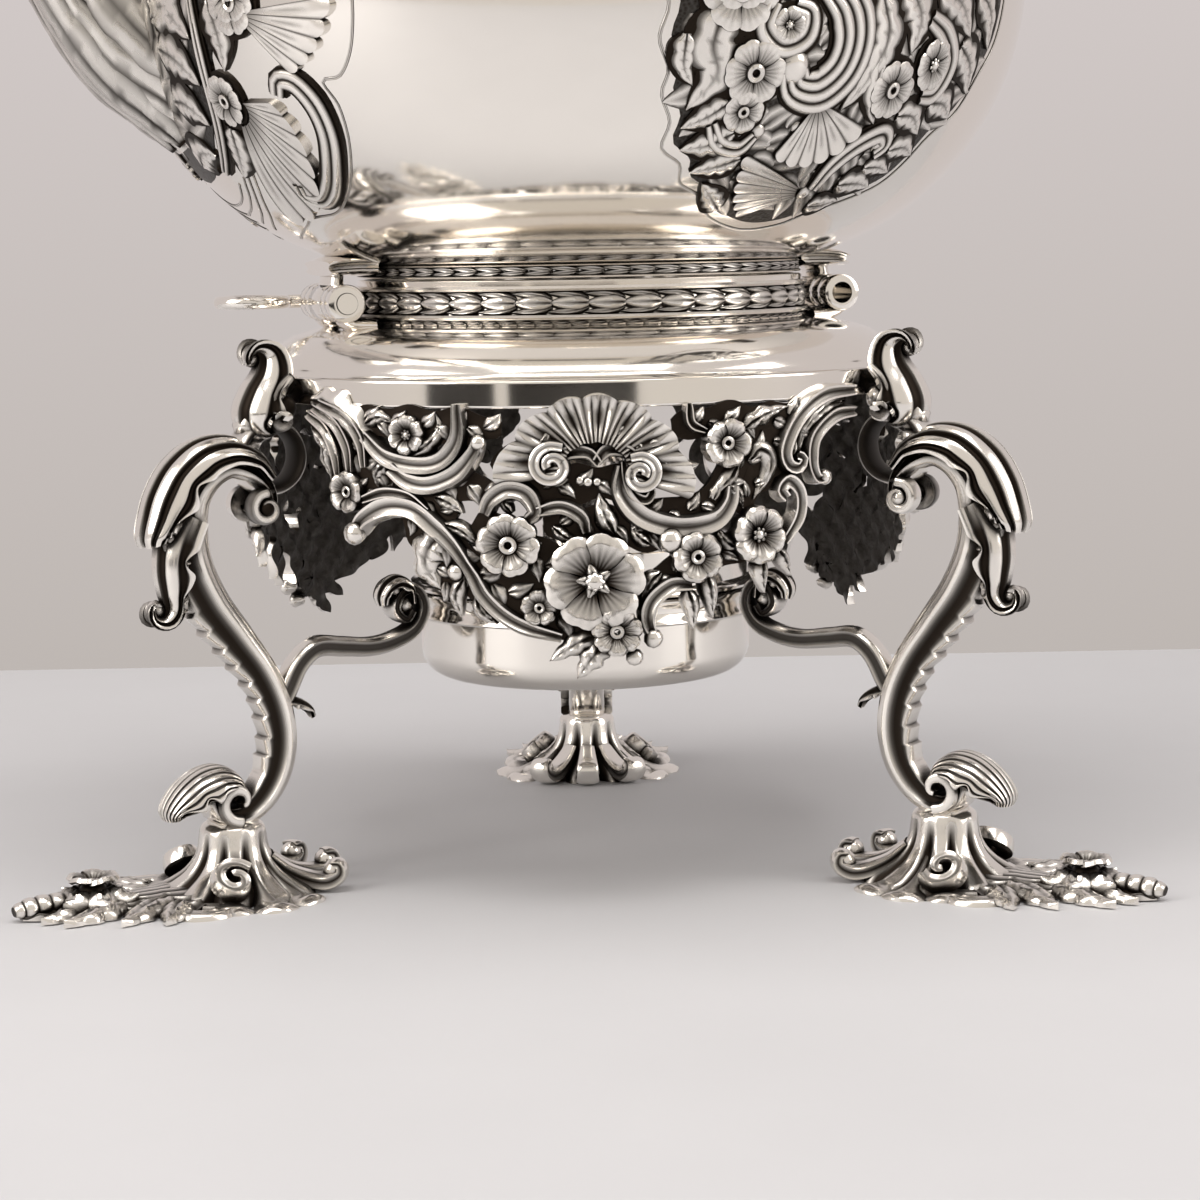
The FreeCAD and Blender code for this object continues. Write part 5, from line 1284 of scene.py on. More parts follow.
class KettleBody(bpy.types.Operator):
    """Raised kettle body with its leafy foot band and mouth band"""

    bl_idname = "kettle.body"
    bl_label = "Kettle body"

    # The shell's section: its foot, the belly's arc outside, the lip, the arc inside and the floor.
    FOOT = ((0.0, 129.4), (44.0, 129.4), (46.2, 128.5), (47.4, 128.4), (47.6, 128.7))
    LIP = ((44.0, 257.2), (43.7, 257.57), (42.9, 257.57), (42.8, 257.2))
    FLOOR = (0.0, 131.0)
    WALL = 1.2
    # Start and end in degrees, and number of points.
    OUTSIDE = (-79.3, 82.7, 72)
    INSIDE = (82.4, -78.6, 48)
    FOOT_RINGS = (
        ((47.6, 128.4), (48.9, 128.42), (49.1, 128.7), (48.6, 129.0), (47.6, 129.0), (47.6, 128.4)),
        ((47.6, 130.55), (48.5, 130.6), (48.8, 130.85), (48.5, 131.1), (47.6, 131.15), (47.6, 130.55)),
    )
    LEAF_RADIUS = 48.0
    LEAF_LEVEL = 129.8
    LEAF_LEANS = (-0.55, 0.55)
    MOUTH = ((44.1, 254.0), (45.0, 254.05), (45.6, 254.5), (45.3, 255.0), (45.7, 255.5), (46.0, 256.0),
             (45.7, 256.5), (45.3, 256.9), (45.0, 257.4), (44.6, 257.55), (44.1, 257.55), (44.1, 254.0))

    def execute(self, context):
        looks = context.scene.kettle_looks
        middle = (BELLY_CENTRE, BELLY_LEVEL)
        section = [*self.FOOT, *arc(middle, BELLY_BEND, *self.OUTSIDE), *self.LIP,
                   *arc(middle, BELLY_BEND - self.WALL, *self.INSIDE), self.FLOOR]
        single("kettle_shell", [spun(section, 256)], "kettle", ["kettle_body", "kettle_shoulder"],
               polished_silver(looks), crease_degrees=50)
        pitch = FULL_TURN * self.LEAF_RADIUS / looks.foot_leaves
        leaves = []
        for number in range(looks.foot_leaves):
            start = number * pitch
            for lean in self.LEAF_LEANS:
                points = [(start, 0.2 * lean), (start - 0.6 * pitch, 0.8 * lean),
                          (start - 1.2 * pitch, lean)]
                leaves.append(leaf(points, 0.75, 0.8, base=0.1, steps=6, across=4, back=-0.2))
        wrapped(leaves, on_cylinder(self.LEAF_RADIUS, self.LEAF_LEVEL, 0.0))
        rings = [spun(ring) for ring in self.FOOT_RINGS]
        single("kettle_foot_leaves", rings + leaves, "kettle", ["kettle_foot_band"], oxidised_silver(looks))
        single("mouth_band_reeded", [spun(self.MOUTH)], "kettle", ["kettle_mouth_band"],
               polished_silver(looks))
        return {"FINISHED"}


class Chasing(bpy.types.Operator):
    """Chased panels of flowers, shells and scrolls on the belly, on a dark matted ground"""

    bl_idname = "kettle.chasing"
    bl_label = "Chased panels"

    FOLD = -8.0
    # Tables of the panels give points right and up from the belly's widest line. Straps have a half width,
    # leaves a half width and lobes, flowers a radius, petals and heart, shells two radii, a sweep and ribs.
    SIDE_OUTLINE = (
        (-48.0, -8.0), (-47.0, -13.0), (-48.6, -19.0), (-46.4, -25.0), (-47.4, -30.0), (-45.0, -36.0),
        (-46.0, -42.0), (-41.0, -46.0), (-39.6, -51.0), (-33.0, -55.0), (-27.0, -62.0), (-14.0, -66.5),
        (-2.0, -65.0), (6.0, -60.0), (14.0, -57.0), (24.0, -52.0), (28.0, -46.0), (31.0, -39.0),
        (38.0, -33.0), (41.0, -25.0), (45.0, -18.0), (46.0, -8.0))
    SIDE_STRAPS = (
        (((-14.0, -8.0), (-8.6, -13.0), (-6.6, -19.0), (-8.0, -25.0), (-12.6, -29.0), (-18.0, -28.4),
          (-20.0, -24.6)), 5.2),
        (((-26.0, -12.0), (-27.4, -16.6), (-23.4, -20.2), (-18.6, -18.4), (-18.0, -14.0), (-21.4, -12.6)),
         2.5),
        (((-2.0, -52.0), (-0.4, -46.0), (4.0, -41.0), (10.4, -38.0), (13.4, -40.6), (11.2, -43.0)), 2.6),
        (((14.0, -14.0), (20.0, -17.0), (24.4, -22.4), (22.6, -28.6), (17.6, -29.6)), 2.8),
        (((-36.0, -36.0), (-33.4, -40.4), (-28.4, -41.6), (-25.4, -38.6)), 2.0),
    )
    SIDE_LEAVES = (
        (((-36.0, -13.0), (-38.0, -20.0), (-36.6, -26.0), (-42.0, -33.0)), 4.0, 4),
        (((-43.4, -18.0), (-43.6, -24.0), (-41.4, -28.0)), 2.0, 3),
        (((-30.4, -38.0), (-35.4, -40.6), (-42.0, -42.0)), 2.7, 4),
        (((-33.0, -31.6), (-37.6, -34.6), (-42.6, -37.0)), 2.2, 3),
        (((-27.0, -44.0), (-33.0, -46.0), (-38.4, -47.6)), 2.3, 4),
        (((-27.0, -58.0), (-31.0, -54.0), (-34.4, -50.6)), 2.4, 4),
        (((-1.0, -10.0), (2.0, -18.0), (-1.0, -27.0), (-5.4, -33.0)), 3.4, 5),
        (((6.0, -8.0), (10.6, -14.0), (10.0, -21.0)), 3.6, 4),
        (((1.6, -22.0), (2.6, -30.0), (6.0, -36.0)), 2.4, 3),
        (((16.0, -8.0), (24.0, -11.0), (30.0, -17.0)), 3.6, 4),
        (((31.0, -8.0), (37.0, -12.0), (40.0, -19.0)), 3.0, 4),
        (((27.0, -19.0), (33.0, -22.6), (37.4, -28.6)), 3.2, 4),
        (((22.6, -31.0), (28.0, -31.0), (34.0, -34.0)), 2.8, 3),
        (((12.6, -34.0), (18.0, -34.0), (24.0, -38.0)), 2.6, 3),
        (((16.0, -42.0), (21.0, -41.0), (27.0, -43.0)), 2.4, 3),
        (((6.0, -51.0), (12.0, -50.4), (19.0, -51.6)), 2.6, 3),
        (((11.0, -46.4), (16.0, -46.0), (22.0, -47.6)), 2.0, 3),
        (((1.0, -57.4), (6.0, -56.6), (11.0, -55.6)), 2.2, 3),
        (((-20.0, -9.0), (-24.0, -7.6), (-28.0, -8.6)), 2.0, 0),
    )
    SIDE_FLOWERS = (((-33.0, -10.0), 6.6, 6, "ring"), ((-28.4, -25.4), 5.6, 6, "ring"),
                    ((-29.4, -33.4), 3.8, 5, "ring"), ((7.4, -28.4), 5.2, 6, "ring"),
                    ((18.4, -23.0), 4.6, 6, "beads"), ((-22.4, -16.2), 3.0, 5, "beads"))
    SIDE_SHELLS = (((-12.3, -31.0), 14.0, 17.0, -118, -20, 6), ((-3.7, -52.8), 25.0, 18.0, 156, 206, 6))
    SPOUT_SHELLS = (((54.2, -11.0), 25.0, 17.0, 4, -48, 5), ((47.5, -28.5), 10.0, 35.0, -2, -117, 8))
    SIDE_BUDS = (((-19.6, -24.6), 3.6), ((11.4, -40.8), 1.9), ((-3.4, -53.4), 2.0), ((-24.6, -38.0), 1.8),
                 ((-15.0, -37.0), 1.5))
    SPOUT_STRAPS = (
        (((60.0, -27.6), (61.6, -24.6), (66.0, -25.6), (69.4, -31.0), (69.0, -38.6), (63.4, -47.8),
          (56.0, -53.0), (50.4, -52.0), (51.2, -48.4)), 2.6),
        (((24.0, -44.0), (30.0, -39.6), (35.6, -33.0), (38.6, -25.0), (40.0, -14.0), (40.0, -4.0)), 1.5),
    )
    SPOUT_LEAVES = (
        (((46.0, -8.0), (47.6, -15.0), (46.4, -22.0)), 3.2, 4),
        (((40.0, -34.0), (37.0, -40.0), (31.0, -46.0)), 3.0, 4),
        (((22.0, -6.0), (30.0, -9.0), (37.0, -15.0)), 3.8, 4),
        (((22.0, -16.0), (29.0, -18.6), (35.4, -24.4)), 3.6, 4),
        (((20.0, -27.0), (26.0, -28.0), (31.6, -33.0)), 3.4, 4),
        (((12.0, -42.0), (18.0, -39.0), (25.0, -40.0)), 3.4, 4),
    )
    SPOUT_LINES = (
        ((37.0, -43.0), (30.0, -50.6), (20.0, -58.0), (7.0, -63.0)),
        ((33.0, -44.6), (25.6, -51.4), (16.0, -57.0), (4.0, -60.4)),
        ((28.6, -46.4), (21.6, -51.6), (12.0, -55.4), (1.0, -57.4)),
        ((23.0, -48.0), (16.0, -51.6), (8.0, -53.6), (0.0, -54.2)),
    )
    SPOUT_FLOWERS = (((42.8, -28.0), 4.6, 7, "ring"), ((53.0, -9.0), 5.4, 6, "ring"))
    SPOUT_OUTLINE = ((83.0, -8.0), (82.4, -14.0), (80.6, -20.0), (77.0, -24.6), (72.4, -25.6), (74.6, -31.0),
                     (73.6, -39.0), (69.0, -47.6), (62.0, -54.0), (54.0, -58.0), (42.0, -59.4),
                     (33.0, -62.6), (17.0, -67.0))
    GROOVE = ((45.6, -8.0), (42.9, -14.0), (40.6, -19.0), (36.9, -25.0), (30.0, -32.6), (20.8, -39.4),
              (10.0, -44.0), (0.0, -45.4))
    # Heights over the belly: dark plates cover the small leaves round each motif as a painted shadow, and
    # motifs stand over them.
    SHADOW_HEIGHT = 0.6
    MOTIF = 0.5
    SHADOW_MARGIN = 0.75
    BACK = -0.5
    SHADOW_DARKNESS = 4.0
    LEAF_GROWTH = 1.4
    FLOWER_GROWTH = 1.2
    # Half width and steps of drawn lines.
    BORDER = (0.36, 220)
    LINE = (0.34, 80)
    # Name, turn round the kettle, and side that the drawing faces.
    SIDE_PANELS = (("front", math.radians(308), 1), ("rear", math.radians(84), -1))
    SIDE_MIDDLE = -2.0
    SIDE_HOLLOW = 0.14
    SPOUT_HOLLOW = 0.16
    SIDE_PITCH = 6.4
    SPOUT_PITCH = 9.0
    ROW_SHARE = 0.87
    LEAF_LEAN = 0.7
    SPOUT_HUB = (0.0, -20.0)
    # Shares of an outline that the small leaves and the ground take up.
    FOLIAGE_SHARE = 0.94
    SPOUT_FOLIAGE_SHARE = 0.9
    SPOUT_GROUND_SHARE = 1.1

    def folded(self, points, side=1):
        """Points with right turned over by side, and their copy above the fold."""
        lower = [(side * right, up) for right, up in points]
        return lower, [(right, 2 * self.FOLD - up) for right, up in lower]

    def resized(self, outline, share):
        """An outline made larger or smaller about the fold."""
        return [(share * right, self.FOLD + share * (up - self.FOLD)) for right, up in outline]

    def drawn(self, points, half, steps):
        """A fine raised line."""
        return strap(points, half, 0.12, base=0.06, back=self.BACK, taper=(1, 1), steps=steps, across=6,
                     ink=1.0)

    def motifs(self, straps, leaves, flowers, buds, side):
        """Relief of one half of a panel, with its copy above the fold."""
        made = []
        # Under each motif goes a dark plate a little wider than it: a painted shadow round the motif.
        for points, half in straps:
            for line in self.folded(points, side):
                made.append(reeds(line, half, 0.8, base=self.MOTIF, back=self.BACK))
                made.append(strap(line, half + self.SHADOW_MARGIN, 0.01, base=self.SHADOW_HEIGHT, back=self.BACK, steps=36,
                                  across=4, ink=self.SHADOW_DARKNESS))
        for points, half, lobes in leaves:
            for line in self.folded(points, side):
                made.append(leaf(line, self.LEAF_GROWTH * half, 0.75, base=self.MOTIF, lobes=lobes,
                                 back=self.BACK, steps=30, across=10, ink=0.8, veins=6))
                made.append(leaf(line, self.LEAF_GROWTH * half + self.SHADOW_MARGIN, 0.01, base=self.SHADOW_HEIGHT,
                                 back=self.BACK, across=4, ink=self.SHADOW_DARKNESS))
        for spot, radius, petals, heart in flowers:
            for line in self.folded([spot], side):
                made += flower(line[0], self.FLOWER_GROWTH * radius, petals, 0.8, base=self.MOTIF,
                               heart=heart, back=self.BACK, shade=0.5)
                made.append(shadow_disc(line[0], self.FLOWER_GROWTH * radius + self.SHADOW_MARGIN, self.SHADOW_HEIGHT, self.BACK))
        for spot, radius in buds:
            made += [bead((*line[0], 0.3), radius, 0.4) for line in self.folded([spot], side)]
        return made

    def shells(self, places, side, hollow):
        """Ribbed shells of one half of a panel and their copies above the fold."""
        made = []
        for hub, near, far, start, end, ribs in places:
            for fold in (1, -1):
                spot = (side * hub[0], hub[1] if fold > 0 else 2 * self.FOLD - hub[1])
                first, last = (start, end) if side > 0 else (180 - start, 180 - end)
                made.append(fan(spot, lambda share, near=near, far=far: near + (far - near) * share,
                                fold * first, fold * last, ribs, 0.7, inner=0.16, base=0.45, back=self.BACK,
                                hollow=hollow))
        return made

    def within(self, spot, outline):
        """True where a point lies inside a closed outline."""
        hits = 0
        for (right, up), (next_right, next_up) in zip(outline, outline[1:]):
            if (up > spot[1]) != (next_up > spot[1]):
                hits += spot[0] < right + (next_right - right) * (spot[1] - up) / (next_up - up)
        return hits % 2 == 1

    def foliage(self, outline, hubs, pitch):
        """Small leaves that fill an outline, each turning round the nearest hub."""
        made = []
        left, low = (min(axis) for axis in zip(*outline))
        right, high = (max(axis) for axis in zip(*outline))
        row_pitch = self.ROW_SHARE * pitch
        for row in range(1, 1 + int((high - low) / row_pitch)):
            for column in range(int((right - left) / pitch)):
                spot = Vector((left + pitch * (column + 0.5 + 0.5 * (row % 2)), low + row_pitch * row))
                if not self.within(spot, outline):
                    continue
                hub = min((Vector(hub) for hub in hubs), key=lambda hub: (spot - hub).length)
                angle = math.atan2(spot.y - hub.y, spot.x - hub.x) + self.LEAF_LEAN
                way = Vector((math.cos(angle), math.sin(angle)))
                bend = Vector((-way.y, way.x)) * 0.14 * pitch
                points = [tuple(spot - way * 0.66 * pitch), tuple(spot + bend),
                          tuple(spot + way * 0.8 * pitch)]
                made.append(leaf(points, 0.46 * pitch, 0.42, base=0.16, back=self.BACK, steps=6, across=4,
                                 ink=0.8))
        return made

    def ground(self, outline, middle):
        """Dark ground inside an outline, a little smaller than it."""
        edge = Line(outline, 150)

        def place(first, second):
            spot = edge.at(first)[0]
            flat = Vector(middle).lerp(Vector((spot[0], spot[1])), 0.95 * second)
            return flat.x, flat.y, 0.12
        flat = sheet(150, 14, place)
        merged(flat)
        return flat

    def lay_ground(self, flat, turn, name, looks):
        """Lays a ground on the belly, facing out."""
        wrapped([flat], on_belly(turn))
        faced(flat)
        belly = Vector((0, 0, BELLY_LEVEL))
        if sum(face.normal.dot(face.calc_center_median() - belly) for face in flat.faces) < 0:
            bmesh.ops.reverse_faces(flat, faces=flat.faces[:])
        piece(name, flat, "kettle", [], matted_ground(looks))
        flat.free()

    def execute(self, context):
        looks = context.scene.kettle_looks
        lower, upper = self.folded(self.SIDE_OUTLINE)
        outline = [*lower, *reversed(upper[1:-1]), lower[0]]
        for name, turn, side in self.SIDE_PANELS:
            border = [(side * right, up) for right, up in outline]
            self.lay_ground(self.ground(border, (self.SIDE_MIDDLE * side, self.FOLD)), turn,
                            f"matted_ground_{name}", looks)
            relief = self.motifs(self.SIDE_STRAPS, self.SIDE_LEAVES, self.SIDE_FLOWERS, self.SIDE_BUDS, side)
            relief += self.shells(self.SIDE_SHELLS, side, self.SIDE_HOLLOW)
            hubs = [line[0] for hub, *rest in self.SIDE_FLOWERS for line in self.folded([hub], side)]
            relief += self.foliage(self.resized(border, self.FOLIAGE_SHARE), hubs, self.SIDE_PITCH)
            relief.append(self.drawn(border, *self.BORDER))
            wrapped(relief, on_belly(turn))
            single(f"chased_panel_{name}", relief, "kettle", [], oxidised_silver(looks))
        relief = []
        for side in (1, -1):
            relief += self.motifs(self.SPOUT_STRAPS, self.SPOUT_LEAVES, self.SPOUT_FLOWERS, (), side)
            relief += self.shells(self.SPOUT_SHELLS, side, self.SPOUT_HOLLOW)
            for points in (self.SPOUT_OUTLINE, *self.SPOUT_LINES):
                relief += [self.drawn(line, *self.LINE) for line in self.folded(points, side)]
        right_half = [*reversed(self.folded(self.GROOVE)[0]), *self.folded(self.GROOVE)[1][1:]]
        left_half = [(-right, up) for right, up in reversed(right_half)]
        oval = [*right_half, *left_half[1:]]
        ground = self.ground(self.resized(oval, self.SPOUT_GROUND_SHARE), (0.0, self.FOLD))
        self.lay_ground(ground, SPOUT_TURN, "matted_ground_spout", looks)
        relief += self.foliage(self.resized(oval, self.SPOUT_FOLIAGE_SHARE), [self.SPOUT_HUB],
                               self.SPOUT_PITCH)
        wrapped(relief, on_belly(SPOUT_TURN))
        single("chased_panel_spout", relief, "kettle", [], oxidised_silver(looks))
        return {"FINISHED"}


class Lid(bpy.types.Operator):
    """Domed lid with a bud finial, its bezel and its hinge"""

    bl_idname = "kettle.lid"
    bl_label = "Lid and finial"

    RIM = ((45.3, 257.95), (45.6, 258.3))
    DOME = ((45.6, 259.8), (45.3, 260.5), (44.6, 261.7), (43.6, 263.1), (41.4, 266.0), (38.8, 269.0),
            (35.5, 272.0), (31.4, 275.1), (25.9, 278.0), (20.0, 280.1), (14.0, 281.5), (9.0, 281.92),
            (2.9, 281.92))
    UNDER = ((2.9, 280.8), (9.0, 280.7), (14.0, 280.2), (20.0, 278.8), (25.4, 276.8), (30.6, 274.0),
             (34.6, 271.0), (37.8, 268.0), (40.4, 265.0), (42.4, 262.4), (43.6, 260.4), (44.4, 259.2),
             (44.6, 258.0))
    FINIAL = ((0.0, 276.0), (2.4, 276.0), (2.4, 281.9), (7.2, 282.0), (7.0, 282.6), (5.4, 283.3),
              (4.2, 284.6), (3.3, 286.2), (3.0, 288.0), (4.4, 289.2), (6.0, 290.4), (8.0, 292.6),
              (9.2, 295.0), (9.7, 297.6), (9.4, 299.2), (9.9, 300.6), (10.4, 303.2), (10.2, 306.2),
              (9.2, 309.0), (7.2, 311.4), (4.4, 313.4), (0.0, 314.3))
    # Flutes turn round the bud above its neck.
    NECK_LEVEL = 289
    FLUTE_DEPTH = 0.07
    FLUTE_HALVES = 4
    FLUTE_TWIST = 0.05
    RAYS = 10
    MEASURE = 20.0

    def execute(self, context):
        looks = context.scene.kettle_looks
        single("lid_dome", [spun(self.RIM + self.DOME + self.UNDER + self.RIM[:1])], "lid", ["lid"],
               polished_silver(looks))
        rays = []
        pitch = FULL_TURN * self.MEASURE / self.RAYS
        for number in range(self.RAYS):
            middle = FULL_TURN * self.MEASURE * number / self.RAYS
            between = middle + pitch / 2
            rays.append(leaf([(middle, 6.0), (middle + 0.8, 16.0), (middle - 0.8, 27.0)], 4.6, 0.9, base=0.1,
                             lobes=4, back=-0.4, steps=24, ink=0.9))
            rays.append(leaf([(between, 6.0), (between, 13.0), (between, 20.0)], 3.4, 0.6, base=0.05,
                             lobes=0, back=-0.4, ink=0.9))
        wrapped(rays, on_turned(self.DOME[::-1], radius=self.MEASURE))
        single("lid_leaves", rays, "lid", [], oxidised_silver(looks))
        bud = spun(self.FINIAL, 96)
        for vert in bud.verts:
            reach = math.hypot(vert.co.x, vert.co.y)
            if vert.co.z > self.NECK_LEVEL and reach > 1:
                angle = math.atan2(vert.co.y, vert.co.x)
                twist = self.FLUTE_TWIST * (vert.co.z - self.NECK_LEVEL)
                share = 1 - self.FLUTE_DEPTH * (1 - abs(math.cos(self.FLUTE_HALVES * angle + twist)))
                vert.co.x *= share
                vert.co.y *= share
        single("finial_bud", [bud], "lid", ["finial"], oxidised_silver(looks))
        refinish(polished_silver(looks), "lid_bezel", "lid_knuckle", "finial_nut", "lid_hinge_leaf",
                 "lid_hinge_pin")
        return {"FINISHED"}


class Spout(bpy.types.Operator):
    """Swan-neck spout with leaves at its root"""

    bl_idname = "kettle.spout"
    bl_label = "Spout"

    NECK = ((78.0, 169.5, 17.0), (87.0, 175.6, 16.2), (95.8, 181.8, 14.9), (107.0, 195.7, 12.1),
            (117.2, 215.2, 9.8), (129.3, 235.7, 8.2), (142.3, 251.5, 7.6), (154.3, 260.7, 8.0))
    WALL = 1.2
    LEAVES = 7
    MEASURE = 13.0

    def execute(self, context):
        looks = context.scene.kettle_looks
        pipe = [(out, up, 2 * radius, 2 * radius) for out, up, radius in self.NECK]
        leaves = []
        half_pitch = FULL_TURN * self.MEASURE / self.LEAVES / 2
        for number in range(self.LEAVES):
            middle = FULL_TURN * self.MEASURE * number / self.LEAVES
            between = middle + half_pitch
            leaves.append(leaf([(between, 1.0), (between + 1.0, 30.0), (between - 1.0, 54.0)], 5.4, 1.0,
                               base=0.1, lobes=5, back=-0.6, steps=36))
            leaves.append(leaf([(middle, 0.8), (middle - 1.0, 36.0), (middle + 2.0, 74.0)], 5.6, 1.5,
                               base=0.3, lobes=7, back=-0.6, steps=44))
        wrapped(leaves, on_pipe(self.NECK, radius=self.MEASURE))
        single("spout_neck", [bar(pipe, steps=90, around=40, wall=self.WALL), *leaves], "kettle", ["spout"],
               oxidised_silver(looks), SPOUT_TURN, crease_degrees=60)
        return {"FINISHED"}


class Bail(bpy.types.Operator):
    """Swinging bail: two arms, cream insulators and a grip"""

    bl_idname = "kettle.bail"
    bl_label = "Bail handle"

    CENTRE = (0.0, 278.97)
    RADIUS = 85.0
    # Start and end in degrees, and number of points, of each stretch of the bail.
    ARM = (-17.5, 56, 18)
    INSULATOR = (56.1, 60.9, 9)
    GRIP = (61.1, 118.9, 21)
    INSULATOR_WIDTHS = (9.0, 10.2, 10.8, 10.0, 9.2, 10.0, 10.8, 10.2, 9.0)
    EYE = ((2.7, -2.4), (5.4, -2.4), (6.0, -1.8), (6.0, 1.8), (5.4, 2.4), (2.7, 2.4), (2.7, -2.4))
    EYE_SPOT = (82.4, 0, 249.97)
    ARM_LEAVES = 3
    MEASURE = 3.7
    REEDS = 10

    def reeded(self, along, angle):
        """Section of the grip: reeds with dark lines between them."""
        reed = abs(math.cos(self.REEDS / 2 * angle))
        size = 0.93 + 0.07 * reed ** 0.5
        return size * math.cos(angle), size * math.sin(angle), 0.9 * max(0.3 - reed, 0) / 0.3

    def stretch(self, span, widths):
        """Spine of one stretch of the bail, with its width at each point."""
        return [(*spot, width, width) for spot, width in zip(arc(self.CENTRE, self.RADIUS, *span), widths)]

    def arm(self):
        """Shapes of one arm: wire with a collar at its end, eye, and leaves at both ends."""
        collar_at = self.ARM[2] - 2
        widths = [7.4 + 1.4 * math.exp(-((number - collar_at) / 1.2) ** 2) for number in range(self.ARM[2])]
        spine = self.stretch(self.ARM, widths)
        eye = spun(self.EYE, 48)
        place = Matrix.Translation(self.EYE_SPOT) @ Matrix.Rotation(math.pi / 2, 4, "Y")
        moved(eye, place)
        leaves = []
        for number in range(self.ARM_LEAVES):
            middle = FULL_TURN * self.MEASURE * (number + 0.5) / self.ARM_LEAVES
            leaves.append(leaf([(middle, 6.0), (middle + 0.6, 22.0), (middle - 0.6, 40.0)], 3.8, 0.9,
                               base=0.1, lobes=5, back=-0.6, steps=26))
            leaves.append(leaf([(middle, 104.0), (middle, 94.0), (middle, 82.0)], 3.4, 0.8, base=0.1,
                               lobes=4, back=-0.6))
        pipe = [(out, up, width / 2) for out, up, width, depth in spine]
        wrapped(leaves, on_pipe(pipe, radius=self.MEASURE))
        return [bar(spine, steps=70, around=20), eye, *leaves]

    def execute(self, context):
        looks = context.scene.kettle_looks
        for side, turn in (("back", KETTLE_TURN), ("spout", SPOUT_TURN)):
            single(f"bail_arm_{side}", self.arm(), "handle", [f"handle_arm_{side}"], oxidised_silver(looks),
                   turn)
            insulator = bar(self.stretch(self.INSULATOR, self.INSULATOR_WIDTHS), steps=32, around=28)
            single(f"bail_insulator_{side}", [insulator], "handle", [f"handle_insulator_{side}"],
                   ivory_coloured(looks), turn, slot="insulator")
        last = self.GRIP[2] - 1
        widths = [11.2 + 1.9 * math.sin(math.pi * number / last) ** 2 for number in range(self.GRIP[2])]
        grip = bar(self.stretch(self.GRIP, widths), self.reeded, steps=90, around=80)
        single("bail_grip", [grip], "handle", ["handle_grip"], oxidised_silver(looks), KETTLE_TURN)
        refinish(polished_silver(looks), "handle_socket_spout", "handle_socket_back", "handle_pivot_spout",
                 "handle_pivot_back")
        return {"FINISHED"}


class Hinges(bpy.types.Operator):
    """Pour and lock hinges: footed barrels on the stand, barrels under shelves on the kettle, ring pins"""

    bl_idname = "kettle.hinges"
    bl_label = "Hinges and pins"

    AXIS = (55.8, 123.4)
    BORE = 2.35
    ROUND = 4.05
    # Ends of the barrels along the axis.
    STAND_BARRELS = ((6.95, 11.8), (11.9, 16.9), (-11.8, -6.95), (-16.9, -11.9))
    KETTLE_BARREL = (-6.6, 6.6)
    EDGE = 0.5
    EDGE_BEND = 0.15
    FOOT_SHIFT = 11.9
    SHELF = ((47.9, 131.3, 4.6, 33.6), (52.0, 131.4, 4.8, 33.6), (56.0, 131.2, 4.4, 33.4),
             (58.6, 130.8, 3.2, 32.6))
    NECK = ((55.0, 131.0, 4.4, 12.6), (55.6, 129.0, 4.6, 12.8), (55.8, 127.0, 5.0, 12.8))
    FOOT = ((49.4, 118.6, 3.6, 9.6), (52.6, 118.7, 3.6, 9.6), (55.0, 119.2, 3.0, 9.4),
            (56.4, 119.8, 2.0, 9.2))

    def barrel(self, low, high):
        """A knuckle with a bore and rounded ends, along the hinge's axis."""
        flat = self.ROUND - self.EDGE
        bend = self.ROUND - self.EDGE_BEND
        shape = spun([(self.BORE, low), (flat, low), (bend, low + self.EDGE_BEND),
                      (self.ROUND, low + self.EDGE), (self.ROUND, high - self.EDGE),
                      (bend, high - self.EDGE_BEND), (flat, high), (self.BORE, high), (self.BORE, low)], 48)
        place = Matrix.Translation((self.AXIS[0], 0, self.AXIS[1])) @ Matrix.Rotation(-math.pi / 2, 4, "X")
        return moved(shape, place)

    def execute(self, context):
        looks = context.scene.kettle_looks
        silver = polished_silver(looks)
        for name, turn in (("pour", SPOUT_TURN), ("lock", KETTLE_TURN)):
            ears = [self.barrel(*ends) for ends in self.STAND_BARRELS]
            for side in (-1, 1):
                foot = bar(self.FOOT, steps=24, around=24)
                bmesh.ops.translate(foot, vec=(0, self.FOOT_SHIFT * side, 0), verts=foot.verts[:])
                ears.append(foot)
            single(f"{name}_hinge_barrels", ears, "stand", [f"{name}_hinge_ears"], silver, turn)
            lug = [self.barrel(*self.KETTLE_BARREL), bar(self.SHELF, channelled, steps=30, around=40),
                   bar(self.NECK, steps=16, around=24)]
            single(f"{name}_hinge_shelf", lug, "kettle", [f"{name}_hinge_lug"], silver, turn)
        refinish(silver, "pour_pin", "lock_pin")
        return {"FINISHED"}


